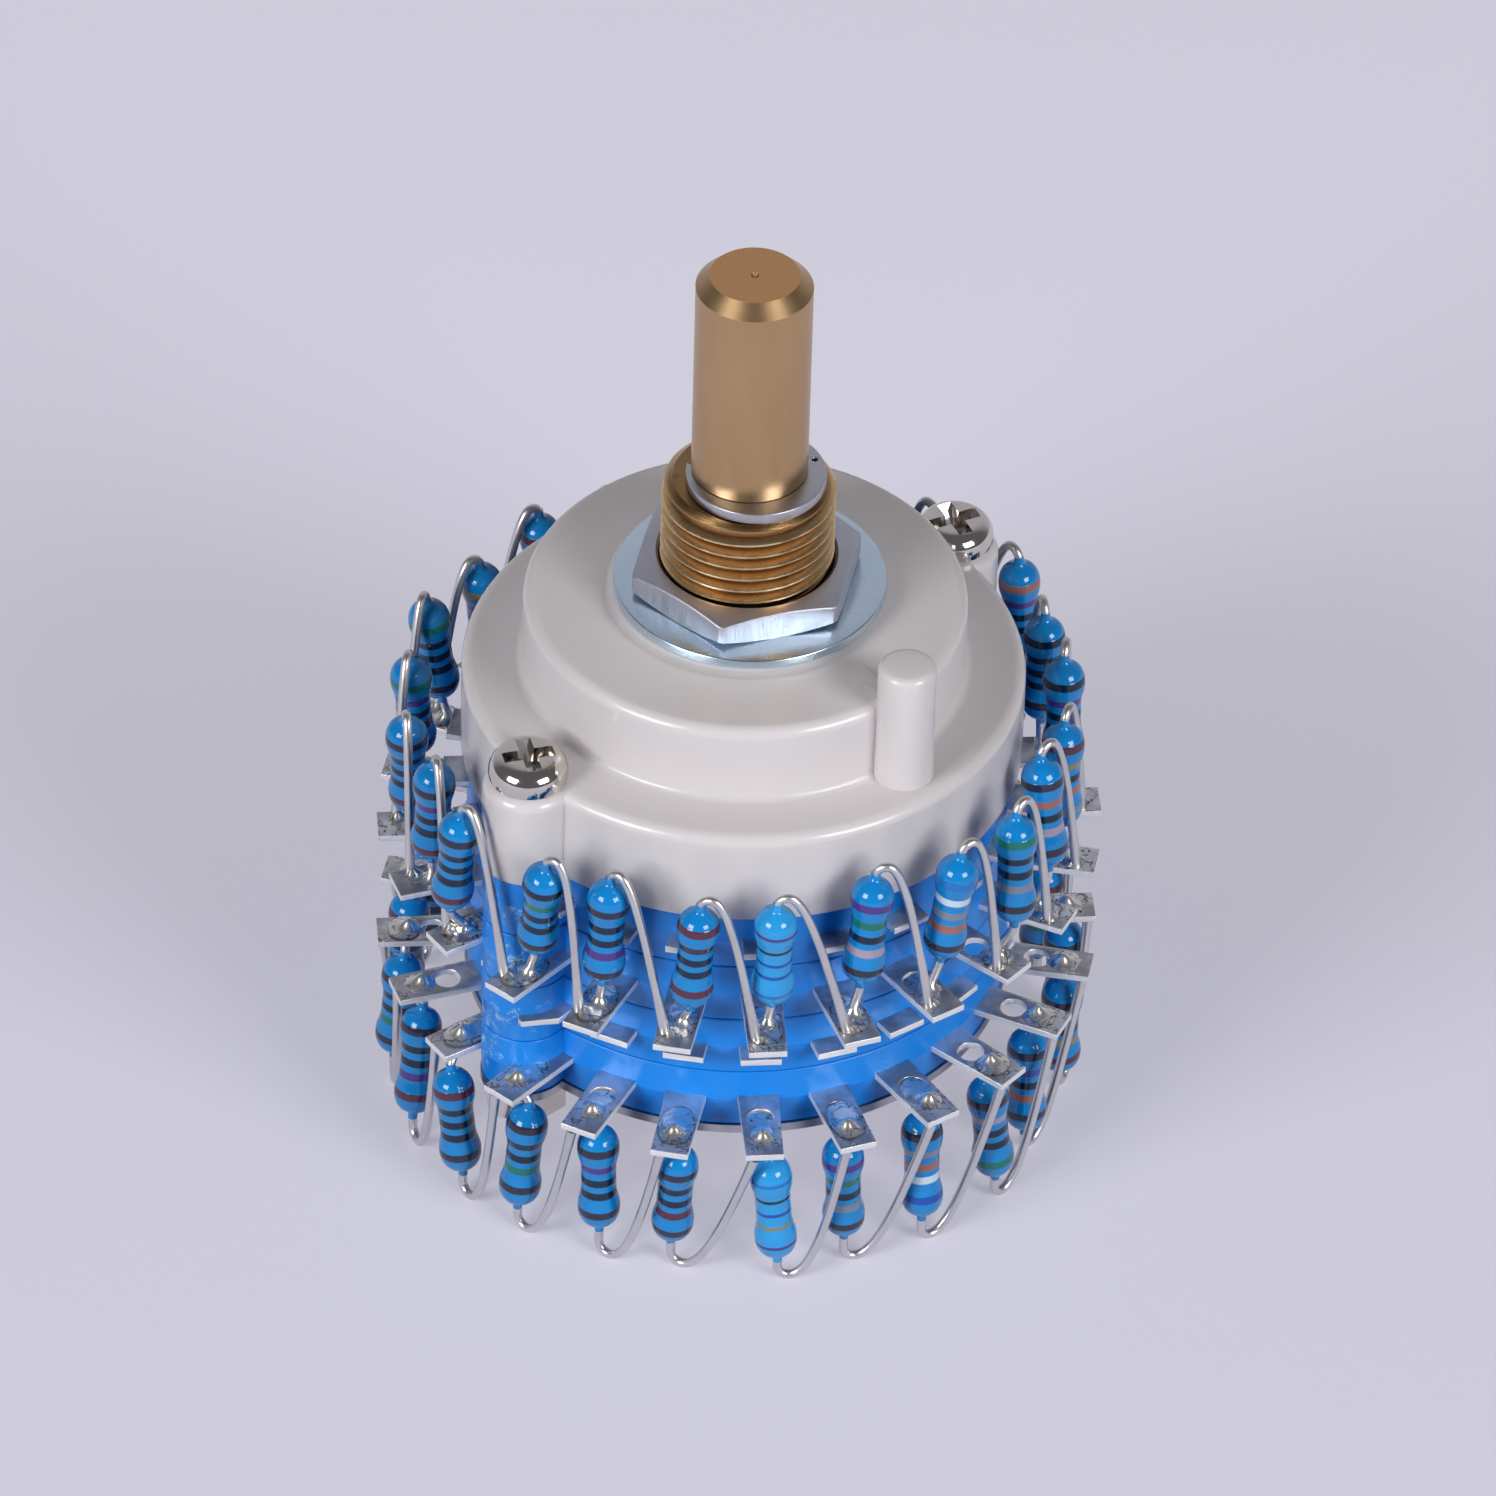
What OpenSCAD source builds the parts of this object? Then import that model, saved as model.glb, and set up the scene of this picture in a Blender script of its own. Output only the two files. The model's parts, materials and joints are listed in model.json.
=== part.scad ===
// Stepped potentiometer: a 24-position rotary attenuator with four switch wafers, stacked behind a
// threaded bushing, and two rings of resistors that step from solder lug to solder lug.
// Z is the shaft's axis, Z = 0 is the face that meets the panel, and all lengths are millimetres.

/* [Shaft] */
// Diameter of the shaft
shaft_d = 6; // [4.5:0.05:6.35]
// Height of the shaft's end above the panel face
shaft_reach = 20; // [12:0.5:40]
// Chamfer at the shaft's end
shaft_chamfer = 0.7; // [0.2:0.1:1]
// Diameter of the centre drilling in the shaft's end
drill_d = 1; // [0.4:0.1:2]
// Depth of the two flats that drive the rotors
flat_depth = 0.75; // [0.4:0.05:1]
// Diameter of the collar that rests under the bushing
collar_d = 7.8; // [7:0.1:8.4]
// Thickness of the collar
collar_t = 0.8; // [0.4:0.1:1.5]
// Diameter of the pivot in the rear plate
pivot_d = 3; // [2:0.1:3.8]
// Length of the pivot that shows behind the rear plate
pivot_show = 0.4; // [0:0.1:1.5]

/* [Retaining clip] */
// Thickness of the clip
clip_t = 0.6; // [0.3:0.1:1]
// Outer diameter of the clip
clip_d = 7.2; // [6.8:0.1:8]
// Depth of the clip's groove in the shaft
groove_depth = 0.5; // [0.3:0.05:0.7]
// Width of the clip's mouth
clip_mouth = 4.2; // [3:0.1:5]
// How far the clip's rim sits off the shaft's axis
clip_shift = 0.5; // [0:0.05:0.6]
// Direction of the clip's back, opposite its mouth
clip_turn = -45; // [-180:5:180]

/* [Bushing] */
// Outer diameter of the bushing's thread
bushing_d = 9; // [8:0.05:10]
// Height of the bushing above the panel face
bushing_h = 7; // [5:0.5:12]
// Chamfer at the bushing's end
bushing_chamfer = 0.4; // [0.2:0.1:0.7]
// Diameter of the flange inside the housing
flange_d = 12.8; // [11:0.1:13.4]
// Thickness of the flange
flange_t = 1.3; // [0.8:0.1:2]

/* [Nut and washer] */
// Nut's width across its flats
nut_af = 10.8; // [10.5:0.1:13]
// Thickness of the nut
nut_t = 1.6; // [1.2:0.1:3]
// Chamfer on the nut's corners
nut_chamfer = 0.3; // [0.1:0.05:0.5]
// Direction of the nut's front corner
nut_turn = -101; // [-180:1:180]
// Diameter of the washer
washer_d = 14.1; // [12:0.1:16]
// Thickness of the washer
washer_t = 0.55; // [0.3:0.05:1]
// Play of the washer round the bushing
washer_play = 0.25; // [0.1:0.05:0.5]
// Play of the nut's bore round the thread's crests
nut_play = 0.05; // [0.02:0.01:0.2]

/* [Housing] */
// Diameter of the raised seat for the panel
seat_d = 14.6; // [13:0.1:18]
// Height of the raised seat
seat_h = 0.45; // [0.2:0.05:1]
// Diameter of the upper tier
upper_d = 23; // [22.6:0.1:24]
// Height of the upper tier
upper_h = 4.5; // [4:0.1:6]
// Diameter of the lower tier
lower_d = 29.3; // [28.8:0.1:30.4]
// Height of the lower tier
lower_h = 5.35; // [5:0.1:8]
// Rounding of the outer edges
edge_r = 0.6; // [0.3:0.1:0.8]
// Fillet at the foot of the upper tier
foot_r = 0.4; // [0.2:0.1:0.6]
// Thickness of the housing's top wall
top_wall = 2.4; // [2:0.1:3]
// Radius of the locating post
post_r = 1.5; // [1:0.05:1.8]
// Distance of the locating post from the axis
post_at = 12.2; // [12:0.05:12.6]
// Height of the locating post above the panel face
post_rise = 2.2; // [1:0.1:4]
// Draft of the locating post below the panel face
post_draft = 0.06; // [0:0.01:0.1]

/* [Screws] */
// Distance of each screw from the axis
screw_at = 14.85; // [14.7:0.05:15.1]
// Direction of the first screw
screw_turn = 43.1; // [40:0.1:46]
// Diameter of the screws' thread
screw_d = 2; // [1.6:0.1:2.1]
// Diameter of the screws' heads
screw_head_d = 4.15; // [3.8:0.05:4.4]
// Height of the screws' heads
screw_head_h = 1.5; // [1:0.1:2]
// Radius of the ears that carry the screws
ear_r = 2.35; // [2.2:0.05:2.4]
// Width across the flats of the screws' nuts
screw_nut_af = 4; // [3.6:0.1:4.1]
// Thickness of the screws' nuts
screw_nut_t = 1.6; // [1:0.1:2]
// Length of thread that shows behind each nut
screw_show = 0.7; // [0:0.1:1.5]

/* [Wafers] */
// Diameter of a wafer at its parting line
wafer_d = 28.7; // [28.4:0.1:29.2]
// Thickness of a wafer
wafer_t = 3.6; // [3.4:0.1:4.4]
// Diameter of the chamber inside a wafer
chamber_d = 22; // [21.4:0.1:22.4]
// Thickness of the rear plate
plate_t = 0.5; // [0.4:0.1:1.5]

/* [Solder lugs] */
// Direction of the first lug
lug_turn = 5.6; // [4:0.1:7]
// Thickness of the lugs
lug_t = 0.4; // [0.3:0.05:0.6]
// Width of a lug at the wafer's rim
lug_w = 2.12; // [1.9:0.02:2.2]
// Width of a full lug at its tip
tip_w = 1.96; // [1.8:0.02:2.1]
// Distance of a full lug's tip from the axis
lug_reach = 19; // [18.9:0.05:19.6]
// Distance of a trimmed lug's end from the axis
stub_reach = 15.5; // [14.9:0.05:15.6]
// Diameter of the eyelet in a full lug
eyelet_d = 1.4; // [0.8:0.1:1.5]
// Distance of the eyelet from the lug's tip
eyelet_in = 2.9; // [2.8:0.05:3.1]
// Length of a contact finger inside the chamber
finger_len = 3; // [2.4:0.1:3.2]
// Width of a contact finger at its inner end
finger_w = 1.2; // [1:0.05:1.3]

/* [Resistors] */
// Length of a resistor's body
body_len = 6.1; // [5.8:0.1:6.4]
// Diameter of the body over its end caps
cap_d = 2.24; // [2.1:0.02:2.3]
// Diameter of the body between its end caps
waist_d = 1.86; // [1.7:0.02:2]
// Diameter of the lead wire
lead_d = 0.48; // [0.4:0.02:0.56]
// Length of enamel that runs onto each lead
tail_len = 0.3; // [0.2:0.05:0.5]
// Gap between an upper resistor's body and its lug
upper_gap = 1.55; // [1.2:0.05:2]
// Gap between a lower resistor's body and its lug
lower_gap = 1.25; // [1:0.05:1.6]
// Bend radius of the lead loops
loop_bend = 0.6; // [0.5:0.05:0.8]
// Reach of an upper loop beyond its bend before it heads for the next lug
upper_swing = 0.9; // [0.5:0.1:1.3]
// Reach of a lower loop beyond its bend before it heads for the next lug
lower_swing = 1.3; // [0.8:0.1:2]
// Depth of the lower loops under their lugs
loop_depth = 8.85; // [8.7:0.05:10]
// Height of the solder on a lug
solder_h = 0.3; // [0.2:0.05:0.4]

/* [Detent] */
// Diameter over the index rotor
index_d = 17.8; // [17.4:0.1:18.2]
// Gap between the index rotor and the crests of the detent ring
detent_gap = 1.1; // [0.9:0.05:1.2]
// Depth of the detent notches
notch_depth = 0.45; // [0.3:0.05:0.6]
// Diameter of the detent balls
ball_d = 2.5; // [2:0.1:2.8]
// Diameter of the stop pin
stop_d = 1; // [0.8:0.1:1.2]
// Height of the stop tooth on the index rotor
tooth_h = 1.3; // [0.8:0.1:1.6]
// Turns of the detent springs
spring_turns = 5; // [3:1:7]
// Wire diameter of the detent springs
spring_wire = 0.32; // [0.2:0.02:0.4]

/* [Hidden] */
$fn = 96;

// Positions and clearances that the whole stack shares
steps = 24;
step_angle = 360 / steps;
open_step = 5;                       // no resistor leaves this lug: the ladder ends here
run_gap = 0.03;                      // radial clearance of a running fit
seat_gap = 0.02;                     // clearance of a fixed fit
end_gap = 0.05;                      // axial clearance of a turning piece
skin = 0.01;                         // overshoot of a cut past the face that it opens

// Levels along the axis
shoulder_z = -seat_h;                // top of the upper tier
ledge_z = shoulder_z - upper_h;      // top of the lower tier
stack_z = ledge_z - lower_h;         // foot of the housing
plate_z = stack_z - 4 * wafer_t;     // front of the rear plate
back_z = plate_z - plate_t;          // back of the rear plate
ceiling_z = shoulder_z - top_wall;   // inner face of the housing's top wall
flange_z = ceiling_z - flange_t;     // foot of the bushing's flange
collar_z = flange_z - end_gap;       // top of the shaft's collar
index_z = collar_z - collar_t;       // top of the index rotor
index_foot = stack_z + 8 * end_gap;  // foot of the index rotor
clip_z = bushing_h + end_gap;        // foot of the retaining clip

// Radii worked out from the driving sizes
shaft_r = shaft_d / 2;
groove_r = shaft_r - groove_depth;
clip_bore = groove_r + run_gap;
detent_r = index_d / 2 + detent_gap; // radius of the detent ring's crests
ball_r = ball_d / 2;
ball_at = detent_r - end_gap - ball_r;
notch_r = ball_r + end_gap;
spring_room = 1.6;                   // index rotor left between the shaft and a spring
spring_seat = shaft_r + spring_room; // distance of a spring's seat from the axis
tooth_len = 1.6;                     // radial length of the stop tooth
stop_at = flange_d / 2 + tooth_len;  // the tooth turns just outside the bushing's flange
rotor_r = chamber_d / 2 - 0.5;
hub_wall = 0.9;                      // wall of a wafer rotor's hub round the shaft
hub_gap = 0.4;                       // room round the hub, and wafer left inside the collector
collector_w = 1.6;                   // width of a collector's ring
hub_r = shaft_r + hub_wall;
hub_hole_r = hub_r + hub_gap;
collector_in = hub_hole_r + hub_gap;
collector_out = collector_in + collector_w;
tail_w = 0.5;                        // width of a collector's tail between two lugs
tab_w = 1.1;                         // width of its soldering tab outside
post_turn = screw_turn - 90;
wafer_r = wafer_d / 2;

// Heights inside a wafer, from its top face
contact_top = -(wafer_t - lug_t) / 2;
floor_top = contact_top - lug_t;
wiper_t = 0.2;
dimple_h = 0.22;
disc_foot = contact_top + end_gap + dimple_h + wiper_t;
disc_top = -5 * end_gap;

// Lugs and what is soldered to them
slant_lug = 15;                      // stub of the third wafer that was trimmed askew
slant = 1;                           // how much longer one side of that stub is
eyelet_at = lug_reach - eyelet_in;
finger_at = chamber_d / 2 - finger_len;
foot_in = 2.1;                       // from the lug's tip in to an upper resistor's foot
lower_foot_in = 1.5;                 // and in to a lower resistor's head
foot_at = lug_reach - foot_in;
upper_pad_at = foot_at + 0.5;        // middle of the solder on an upper lug
upper_end = [1.1, -0.55];            // end of an upper loop from the foot of its resistor
lower_foot_at = lug_reach - lower_foot_in;
lower_pad_at = lower_foot_at + 0.5;
lower_end = [1.15, -0.5];
pad_r = 0.92;
upper_lug_z = deck_z(1) + floor_top + lug_t;
lower_lug_z = deck_z(3) + floor_top;
upper_body_z = upper_lug_z + upper_gap;
lower_body_z = lower_lug_z - lower_gap;

// How each resistor was soldered in: the place of its near end, outwards, towards the next lug
// and upwards, and then how far its other end leans outwards and towards the next lug. The
// pairs 2 and 3 and 14 and 15 stand clear of the two pillars.
upper_set = [
    [0.1, 0.7, 0.8, -0.1, 0.5], [0.1, 0.5, 0.4, 0.1, 0.3], [1.3, 0.3, 0.8, -0.2, 0.2],
    [0.3, 0.9, 0.8, 0.3, 0.6], [0.1, 0.5, 0.3, 0.2, 0.2], [0, 0, 0, 0, 0],
    [0.2, 0.4, 0.2, 0.1, 0.3], [0.3, 0.5, 0.4, 0, 0.4], [0.7, 0.6, 0.4, 0.3, 0.2],
    [0.2, 0.5, 0.2, 0.1, 0.7], [0.4, 0.4, 0.4, 0.7, 0.4], [0.3, 0.4, 0.2, 0.3, 0.4],
    [0.4, 0.5, 0.2, 0.3, 0.6], [0.2, 0.3, 0.4, 0, 0.4], [1.3, 0.1, 0.8, -0.2, 0.6],
    [0.3, 0.9, 0.8, 0.5, 1], [0.1, 0.3, 0.4, -0.2, 0.2], [0.4, 0.6, 0.2, 0, 0.4],
    [-0.1, 0.3, 0.2, 0.3, 0.1], [0, 0.6, 0.8, -0.4, 0.7], [0.2, 0.8, 0.8, 0.2, 0.8],
    [1, 0.8, 1, -0.5, 0.4], [0.4, 0.8, 1.2, -0.9, 0.5], [0, 0.5, 0.4, -0.1, 0.3]
];
lower_set = [
    [0, 0.3, 0, 0.2, 0.2], [0.1, 0.3, 0.2, 0, 0.3], [0.8, 0.6, 0, 0, 0.4],
    [0, 0.8, 0.2, 0.3, 0], [0, 0.3, 0.1, 0.2, 0.2], [0, 0, 0, 0, 0],
    [0.1, 0.2, 0, 0.2, 0.1], [0, 0.4, 0.2, 0, 0.3], [0.1, 0.4, 0, 0.1, 0.3],
    [0, 0.3, 0.2, 0, 0.2], [0.1, 0.4, 0, 0.3, 0.1], [0, 0.3, 0.1, 0.4, 0.1],
    [0.1, 0.6, 0, 0.5, 0.1], [0, 0.2, 0, 0.8, 0.9], [0.9, 0.6, 0, -0.2, 0.8],
    [0, 0.8, 0.1, 0.5, -0.2], [-0.3, 0.3, 0.4, 0.3, 0.3], [-0.2, 0.2, 0.3, -0.2, -0.3],
    [-0.1, 0.4, 0, 0.5, 0.5], [-0.3, -0.2, 0.4, 0.1, 0.2], [-0.4, 0, 0.3, 0.6, -0.2],
    [-0.3, 0, 0.2, 0.6, 0.3], [-0.6, 0.3, 0, 0.2, -0.4], [0, 0.3, 0, 0, 0.3]
];
foot_share = 0.35;                   // part of a resistor's offset that the foot of its lead takes
wire_sides = 8;
bend_steps = 3;
swing_steps = 6;

function deck_z(deck) = stack_z - deck * wafer_t;
function unit(v) = v / norm(v);
function turned(p, a) = [p.x * cos(a) - p.y * sin(a), p.x * sin(a) + p.y * cos(a), p.z];
function at_lug(k, out, along, z) = turned([out, along, z], lug_turn + k * step_angle);
function ladder() = [for (k = [0:steps - 1]) if (k != open_step) k];
function rounded(x, z, r) = [for (i = [0:5]) [x - r + r * cos(i * 18), z - r + r * sin(i * 18)]];

// Near end of a resistor's body, the way its body runs and its far end. The side is 1 for the
// ring that stands up and -1 for the one that hangs.
function near_end(k, out, set, z) = at_lug(k, out + set[k][0], set[k][1], z + set[k][2]);
function body_way(k, set, side) = unit(at_lug(k, set[k][3], set[k][4], side * body_len));
function far_end(k, out, set, z, side) =
    near_end(k, out, set, z) + (body_len + tail_len) * body_way(k, set, side);

// A lead's loop in one upright plane: a quarter bend at a level, then a swing towards its end
function loop_path(start, level, end, swing, side) =
    let (
        ahead = unit([end.x - start.x, end.y - start.y, 0]),
        centre = [start.x, start.y, level] + loop_bend * ahead,
        crown = centre + [0, 0, side * loop_bend],
        turn = crown + swing * ahead,
        mid = (turn + end) / 2
    )
    concat(
        abs(start.z - level) > skin ? [start] : [],
        [for (i = [0:bend_steps - 1])
            let (a = 90 * i / bend_steps)
            centre + loop_bend * [-cos(a) * ahead.x, -cos(a) * ahead.y, side * sin(a)]],
        [for (i = [0:swing_steps])
            let (t = i / swing_steps, u = 1 - t)
            u * u * u * crown + 3 * u * u * t * turn + 3 * u * t * t * mid + t * t * t * end]
    );

module at_screws() {
    for (half = [0, 180])
        rotate(screw_turn + half) translate([screw_at, 0]) children();
}

module disc(r, from, to) {
    translate([0, 0, to]) cylinder(r = r, h = from - to);
}

// Round rod with two flats, which drives the rotors
module flatted(r, from, to) {
    intersection() {
        disc(r, from, to);
        translate([0, 0, (from + to) / 2])
            cube([2 * (r - flat_depth), 2 * r + 1, from - to + 1], center = true);
    }
}

// Wire along a path that lies in one upright plane. Its two end faces are level.
module wire(path) {
    last = len(path) - 1;
    span = path[last] - path[0];
    across = unit([-span.y, span.x, 0]);
    function heading(i) =
        i == 0 ? [0, 0, sign(path[1].z - path[0].z)]
        : i == last ? [0, 0, sign(path[last].z - path[last - 1].z)]
        : unit(unit(path[i + 1] - path[i]) + unit(path[i] - path[i - 1]));
    points = [
        for (i = [0:last]) let (b = cross(heading(i), across))
            for (j = [0:wire_sides - 1]) let (a = 360 * (j + 0.5) / wire_sides)
                path[i] + lead_d / 2 * (cos(a) * across + sin(a) * b)
    ];
    sides = [
        for (i = [0:last - 1], j = [0:wire_sides - 1])
            let (a = i * wire_sides + j, b = i * wire_sides + (j + 1) % wire_sides)
                each [[a, b, a + wire_sides], [b, b + wire_sides, a + wire_sides]]
    ];
    caps = [
        [for (j = [wire_sides - 1:-1:0]) j],
        [for (j = [0:wire_sides - 1]) last * wire_sides + j]
    ];
    polyhedron(points, concat(sides, caps));
}

// Moulded front cover: two tiers, the panel seat, two ears, the locating post and, inside, the
// ring of detent notches
module housing() {
    upper_r = upper_d / 2;
    lower_r = lower_d / 2;
    color("#e4e1dc") difference() {
        union() {
            rotate_extrude() polygon(concat(
                [[0, stack_z], [lower_r, stack_z]],
                rounded(lower_r, ledge_z, edge_r),
                [for (i = [0:4]) [upper_r + foot_r - foot_r * sin(i * 22.5),
                                  ledge_z + foot_r - foot_r * cos(i * 22.5)]],
                rounded(upper_r, shoulder_z, edge_r),
                [[seat_d / 2, shoulder_z], [seat_d / 2 - seat_h / 3, 0], [0, 0]]
            ));
            at_screws() rotate_extrude() polygon(concat(
                [[0, stack_z], [ear_r, stack_z]], rounded(ear_r, ledge_z, edge_r), [[0, ledge_z]]
            ));
            rotate(post_turn) translate([post_at, 0]) rotate_extrude() polygon(concat(
                [[0, ledge_z - 1], [post_r + post_draft, ledge_z - 1],
                 [post_r + post_draft, ledge_z], [post_r, shoulder_z]],
                rounded(post_r, post_rise, foot_r), [[0, post_rise]]
            ));
        }
        disc(bushing_d / 2 + seat_gap, skin, ceiling_z - 1);
        disc(detent_r, ceiling_z, stack_z - skin);
        for (k = [0:steps - 1])
            rotate(lug_turn + k * step_angle)
                translate([detent_r + notch_depth - notch_r, 0]) disc(notch_r, index_z, stack_z - skin);
        at_screws() disc(screw_d / 2 + end_gap, ledge_z + skin, stack_z - skin);
        stop_place() disc(stop_d / 2 + seat_gap, ceiling_z + top_wall / 2, ceiling_z - skin);
    }
}

// Where the stop pin stands, between the first and the last position
module stop_place() {
    rotate(lug_turn + (open_step + 0.5) * step_angle) translate([stop_at, 0]) children();
}

module stop_pin() {
    color("#b9bcc0") stop_place()
        disc(stop_d / 2, ceiling_z + top_wall / 2, index_z + 3 * end_gap);
}

// Turned bushing: the thread's body is drawn at its outer diameter
module bushing() {
    r = bushing_d / 2;
    color("#c79a4b") difference() {
        rotate_extrude() polygon([
            [0, flange_z], [flange_d / 2, flange_z], [flange_d / 2, ceiling_z],
            [r, ceiling_z], [r, bushing_h - bushing_chamfer], [r - bushing_chamfer, bushing_h],
            [0, bushing_h]
        ]);
        disc(shaft_r + run_gap, bushing_h + skin, flange_z - skin);
    }
}

module mounting_washer() {
    color("#b4c2cf") translate([washer_play - end_gap, 0]) difference() {
        disc(washer_d / 2, washer_t, 0);
        disc(bushing_d / 2 + washer_play, washer_t + skin, -skin);
    }
}

module mounting_nut() {
    corner_r = nut_af / 2 / cos(30);
    flat_r = nut_af / 2;
    bore = bushing_d / 2 + nut_play;
    color("#b6b7bb") translate([0, 0, washer_t]) difference() {
        intersection() {
            rotate(nut_turn) cylinder(r = corner_r, h = nut_t, $fn = 6);
            rotate_extrude() polygon([
                [0, 0], [flat_r, 0], [corner_r, nut_chamfer], [corner_r, nut_t - nut_chamfer],
                [flat_r, nut_t], [0, nut_t]
            ]);
        }
        rotate_extrude() polygon([
            [0, -skin], [bore + nut_chamfer, -skin], [bore, nut_chamfer],
            [bore, nut_t - nut_chamfer], [bore + nut_chamfer, nut_t + skin], [0, nut_t + skin]
        ]);
    }
}

// Outline of the wafers and the rear plate: a disc with an ear at each screw, and a hole in its middle
module stack_outline(hole_r) {
    difference() {
        union() {
            circle(wafer_r);
            at_screws() circle(ear_r - end_gap);
        }
        circle(hole_r);
        at_screws() circle(screw_d / 2 + end_gap);
    }
}

// Moulded cup with an open chamber: its floor, the layer with the lugs' windows, and the closed rim above
module wafer(deck) {
    window_h = lug_t + seat_gap;
    color("#1f74cf") translate([0, 0, deck_z(deck) - wafer_t]) union() {
        linear_extrude(wafer_t + floor_top) stack_outline(hub_hole_r);
        translate([0, 0, wafer_t + floor_top]) linear_extrude(window_h) difference() {
            stack_outline(chamber_d / 2);
            for (k = [0:steps - 1])
                rotate(lug_turn + k * step_angle) window(lug_w);
            rotate(lug_turn + (open_step + 0.5) * step_angle) window(tail_w);
        }
        translate([0, 0, wafer_t + floor_top + window_h])
            linear_extrude(-floor_top - window_h) stack_outline(chamber_d / 2);
    }
}

// Window in the rim for one lug, which lies on the floor
module window(w) {
    translate([0, -w / 2 - seat_gap]) square([lug_reach, w + 2 * seat_gap]);
}

// Stamped lugs of one wafer: each runs from its contact finger out through the rim
module lugs(deck, reach, eyelet) {
    foot = deck_z(deck) + floor_top;
    color("#c3c4c6") for (k = [0:steps - 1]) {
        longer = deck == 2 && k == slant_lug ? slant : 0;
        end_w = eyelet ? tip_w : lug_w;
        difference() {
            rotate(lug_turn + k * step_angle) translate([0, 0, foot]) linear_extrude(lug_t) polygon([
                [finger_at, -finger_w / 2], [chamber_d / 2 + 0.5, -lug_w / 2],
                [wafer_r, -lug_w / 2], [reach + longer, -end_w / 2], [reach, end_w / 2],
                [wafer_r, lug_w / 2], [chamber_d / 2 + 0.5, lug_w / 2], [finger_at, finger_w / 2]
            ]);
            if (eyelet)
                rotate(lug_turn + k * step_angle) translate([eyelet_at, 0])
                    disc(eyelet_d / 2, foot + lug_t + skin, foot - skin);
            at_screws() disc(screw_d / 2 + 4 * end_gap, foot + lug_t + skin, foot - skin);
        }
    }
}

// Collector ring of one wafer with its tail and tab
module collector(deck) {
    foot = deck_z(deck) + floor_top;
    color("#cfae63") difference() {
        union() {
            disc(collector_out, foot + lug_t, foot);
            rotate(lug_turn + (open_step + 0.5) * step_angle) translate([0, 0, foot])
                linear_extrude(lug_t) polygon([
                    [collector_in, -tail_w / 2], [wafer_r + tab_w / 2, -tail_w / 2],
                    [wafer_r + tab_w, -tab_w / 2], [lug_reach - tab_w, -tab_w / 2],
                    [lug_reach - tab_w / 2, 0], [lug_reach - tab_w, tab_w / 2],
                    [wafer_r + tab_w, tab_w / 2], [wafer_r + tab_w / 2, tail_w / 2],
                    [collector_in, tail_w / 2]
                ]);
        }
        disc(collector_in, foot + lug_t + skin, foot - skin);
    }
}

module rear_plate() {
    color("#a9abae") translate([0, 0, back_z]) linear_extrude(plate_t)
        stack_outline(pivot_d / 2 + run_gap);
}

// Pan-head screws with a cross recess, through the whole stack
module through_screws() {
    head_r = screw_head_d / 2;
    color("#c9c7c4") at_screws() difference() {
        rotate_extrude() polygon(concat(
            [[0, back_z - screw_nut_t - screw_show], [screw_d / 2, back_z - screw_nut_t - screw_show],
             [screw_d / 2, ledge_z], [head_r, ledge_z], [head_r, ledge_z + screw_head_h / 3]],
            [for (i = [1:5]) [head_r * cos(i * 15), ledge_z + screw_head_h * (1 + 2 * sin(i * 18)) / 3]],
            [[0, ledge_z + screw_head_h]]
        ));
        for (a = [20, 110])
            rotate(a) translate([-screw_head_d / 4, -0.2, ledge_z + screw_head_h / 2])
                cube([screw_head_d / 2, 0.4, screw_head_h]);
    }
}

module screw_nuts() {
    color("#bfc0c2") at_screws() difference() {
        translate([0, 0, back_z - screw_nut_t])
            cylinder(r = screw_nut_af / 2 / cos(30), h = screw_nut_t, $fn = 6);
        disc(screw_d / 2 + seat_gap, back_z + skin, back_z - screw_nut_t - skin);
    }
}

// Enamelled body with two end caps and the enamel that runs onto the leads
module resistor_body() {
    cap_r = cap_d / 2;
    waist_r = waist_d / 2;
    lead_r = lead_d / 2;
    dome = cap_r * 0.65;
    half = [
        [lead_r, -tail_len], [lead_r + 0.12, -tail_len * 0.4],
        for (i = [1:4]) [cap_r * sin(12 + i * 19.5), dome * (1 - cos(12 + i * 19.5))],
        [cap_r, cap_d * 0.6], [(cap_r + waist_r) / 2, cap_d * 0.78], [waist_r, cap_d * 0.95]
    ];
    rotate_extrude() polygon(concat(
        [[0, -tail_len]], half,
        [for (i = [len(half) - 1:-1:0]) [half[i][0], body_len - half[i][1]]],
        [[0, body_len + tail_len]]
    ));
}

module resistor_ring(out, set, z, side) {
    color("#2f8fd0") for (k = ladder()) {
        way = body_way(k, set, side);
        translate(near_end(k, out, set, z))
            rotate([0, acos(way.z), atan2(way.y, way.x)]) resistor_body();
    }
}

// The short leads of one ring, from each resistor to its own lug
module short_leads(out, set, z, side, pad_z) {
    for (k = ladder())
        wire([
            at_lug(k, out + foot_share * set[k][0], foot_share * set[k][1], pad_z),
            near_end(k, out, set, z) - tail_len * body_way(k, set, side)
        ]);
}

module upper_resistors() {
    resistor_ring(foot_at, upper_set, upper_body_z, 1);
}

module upper_leads() {
    pad_z = upper_lug_z + solder_h;
    color("#c9c9c8") {
        short_leads(foot_at, upper_set, upper_body_z, 1, pad_z);
        for (k = ladder()) {
            start = far_end(k, foot_at, upper_set, upper_body_z, 1);
            end = at_lug(k + 1, foot_at + upper_end[0], upper_end[1], pad_z);
            wire(loop_path(start, start.z, end, upper_swing, 1));
        }
    }
}

module lower_resistors() {
    resistor_ring(lower_foot_at, lower_set, lower_body_z, -1);
}

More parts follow.
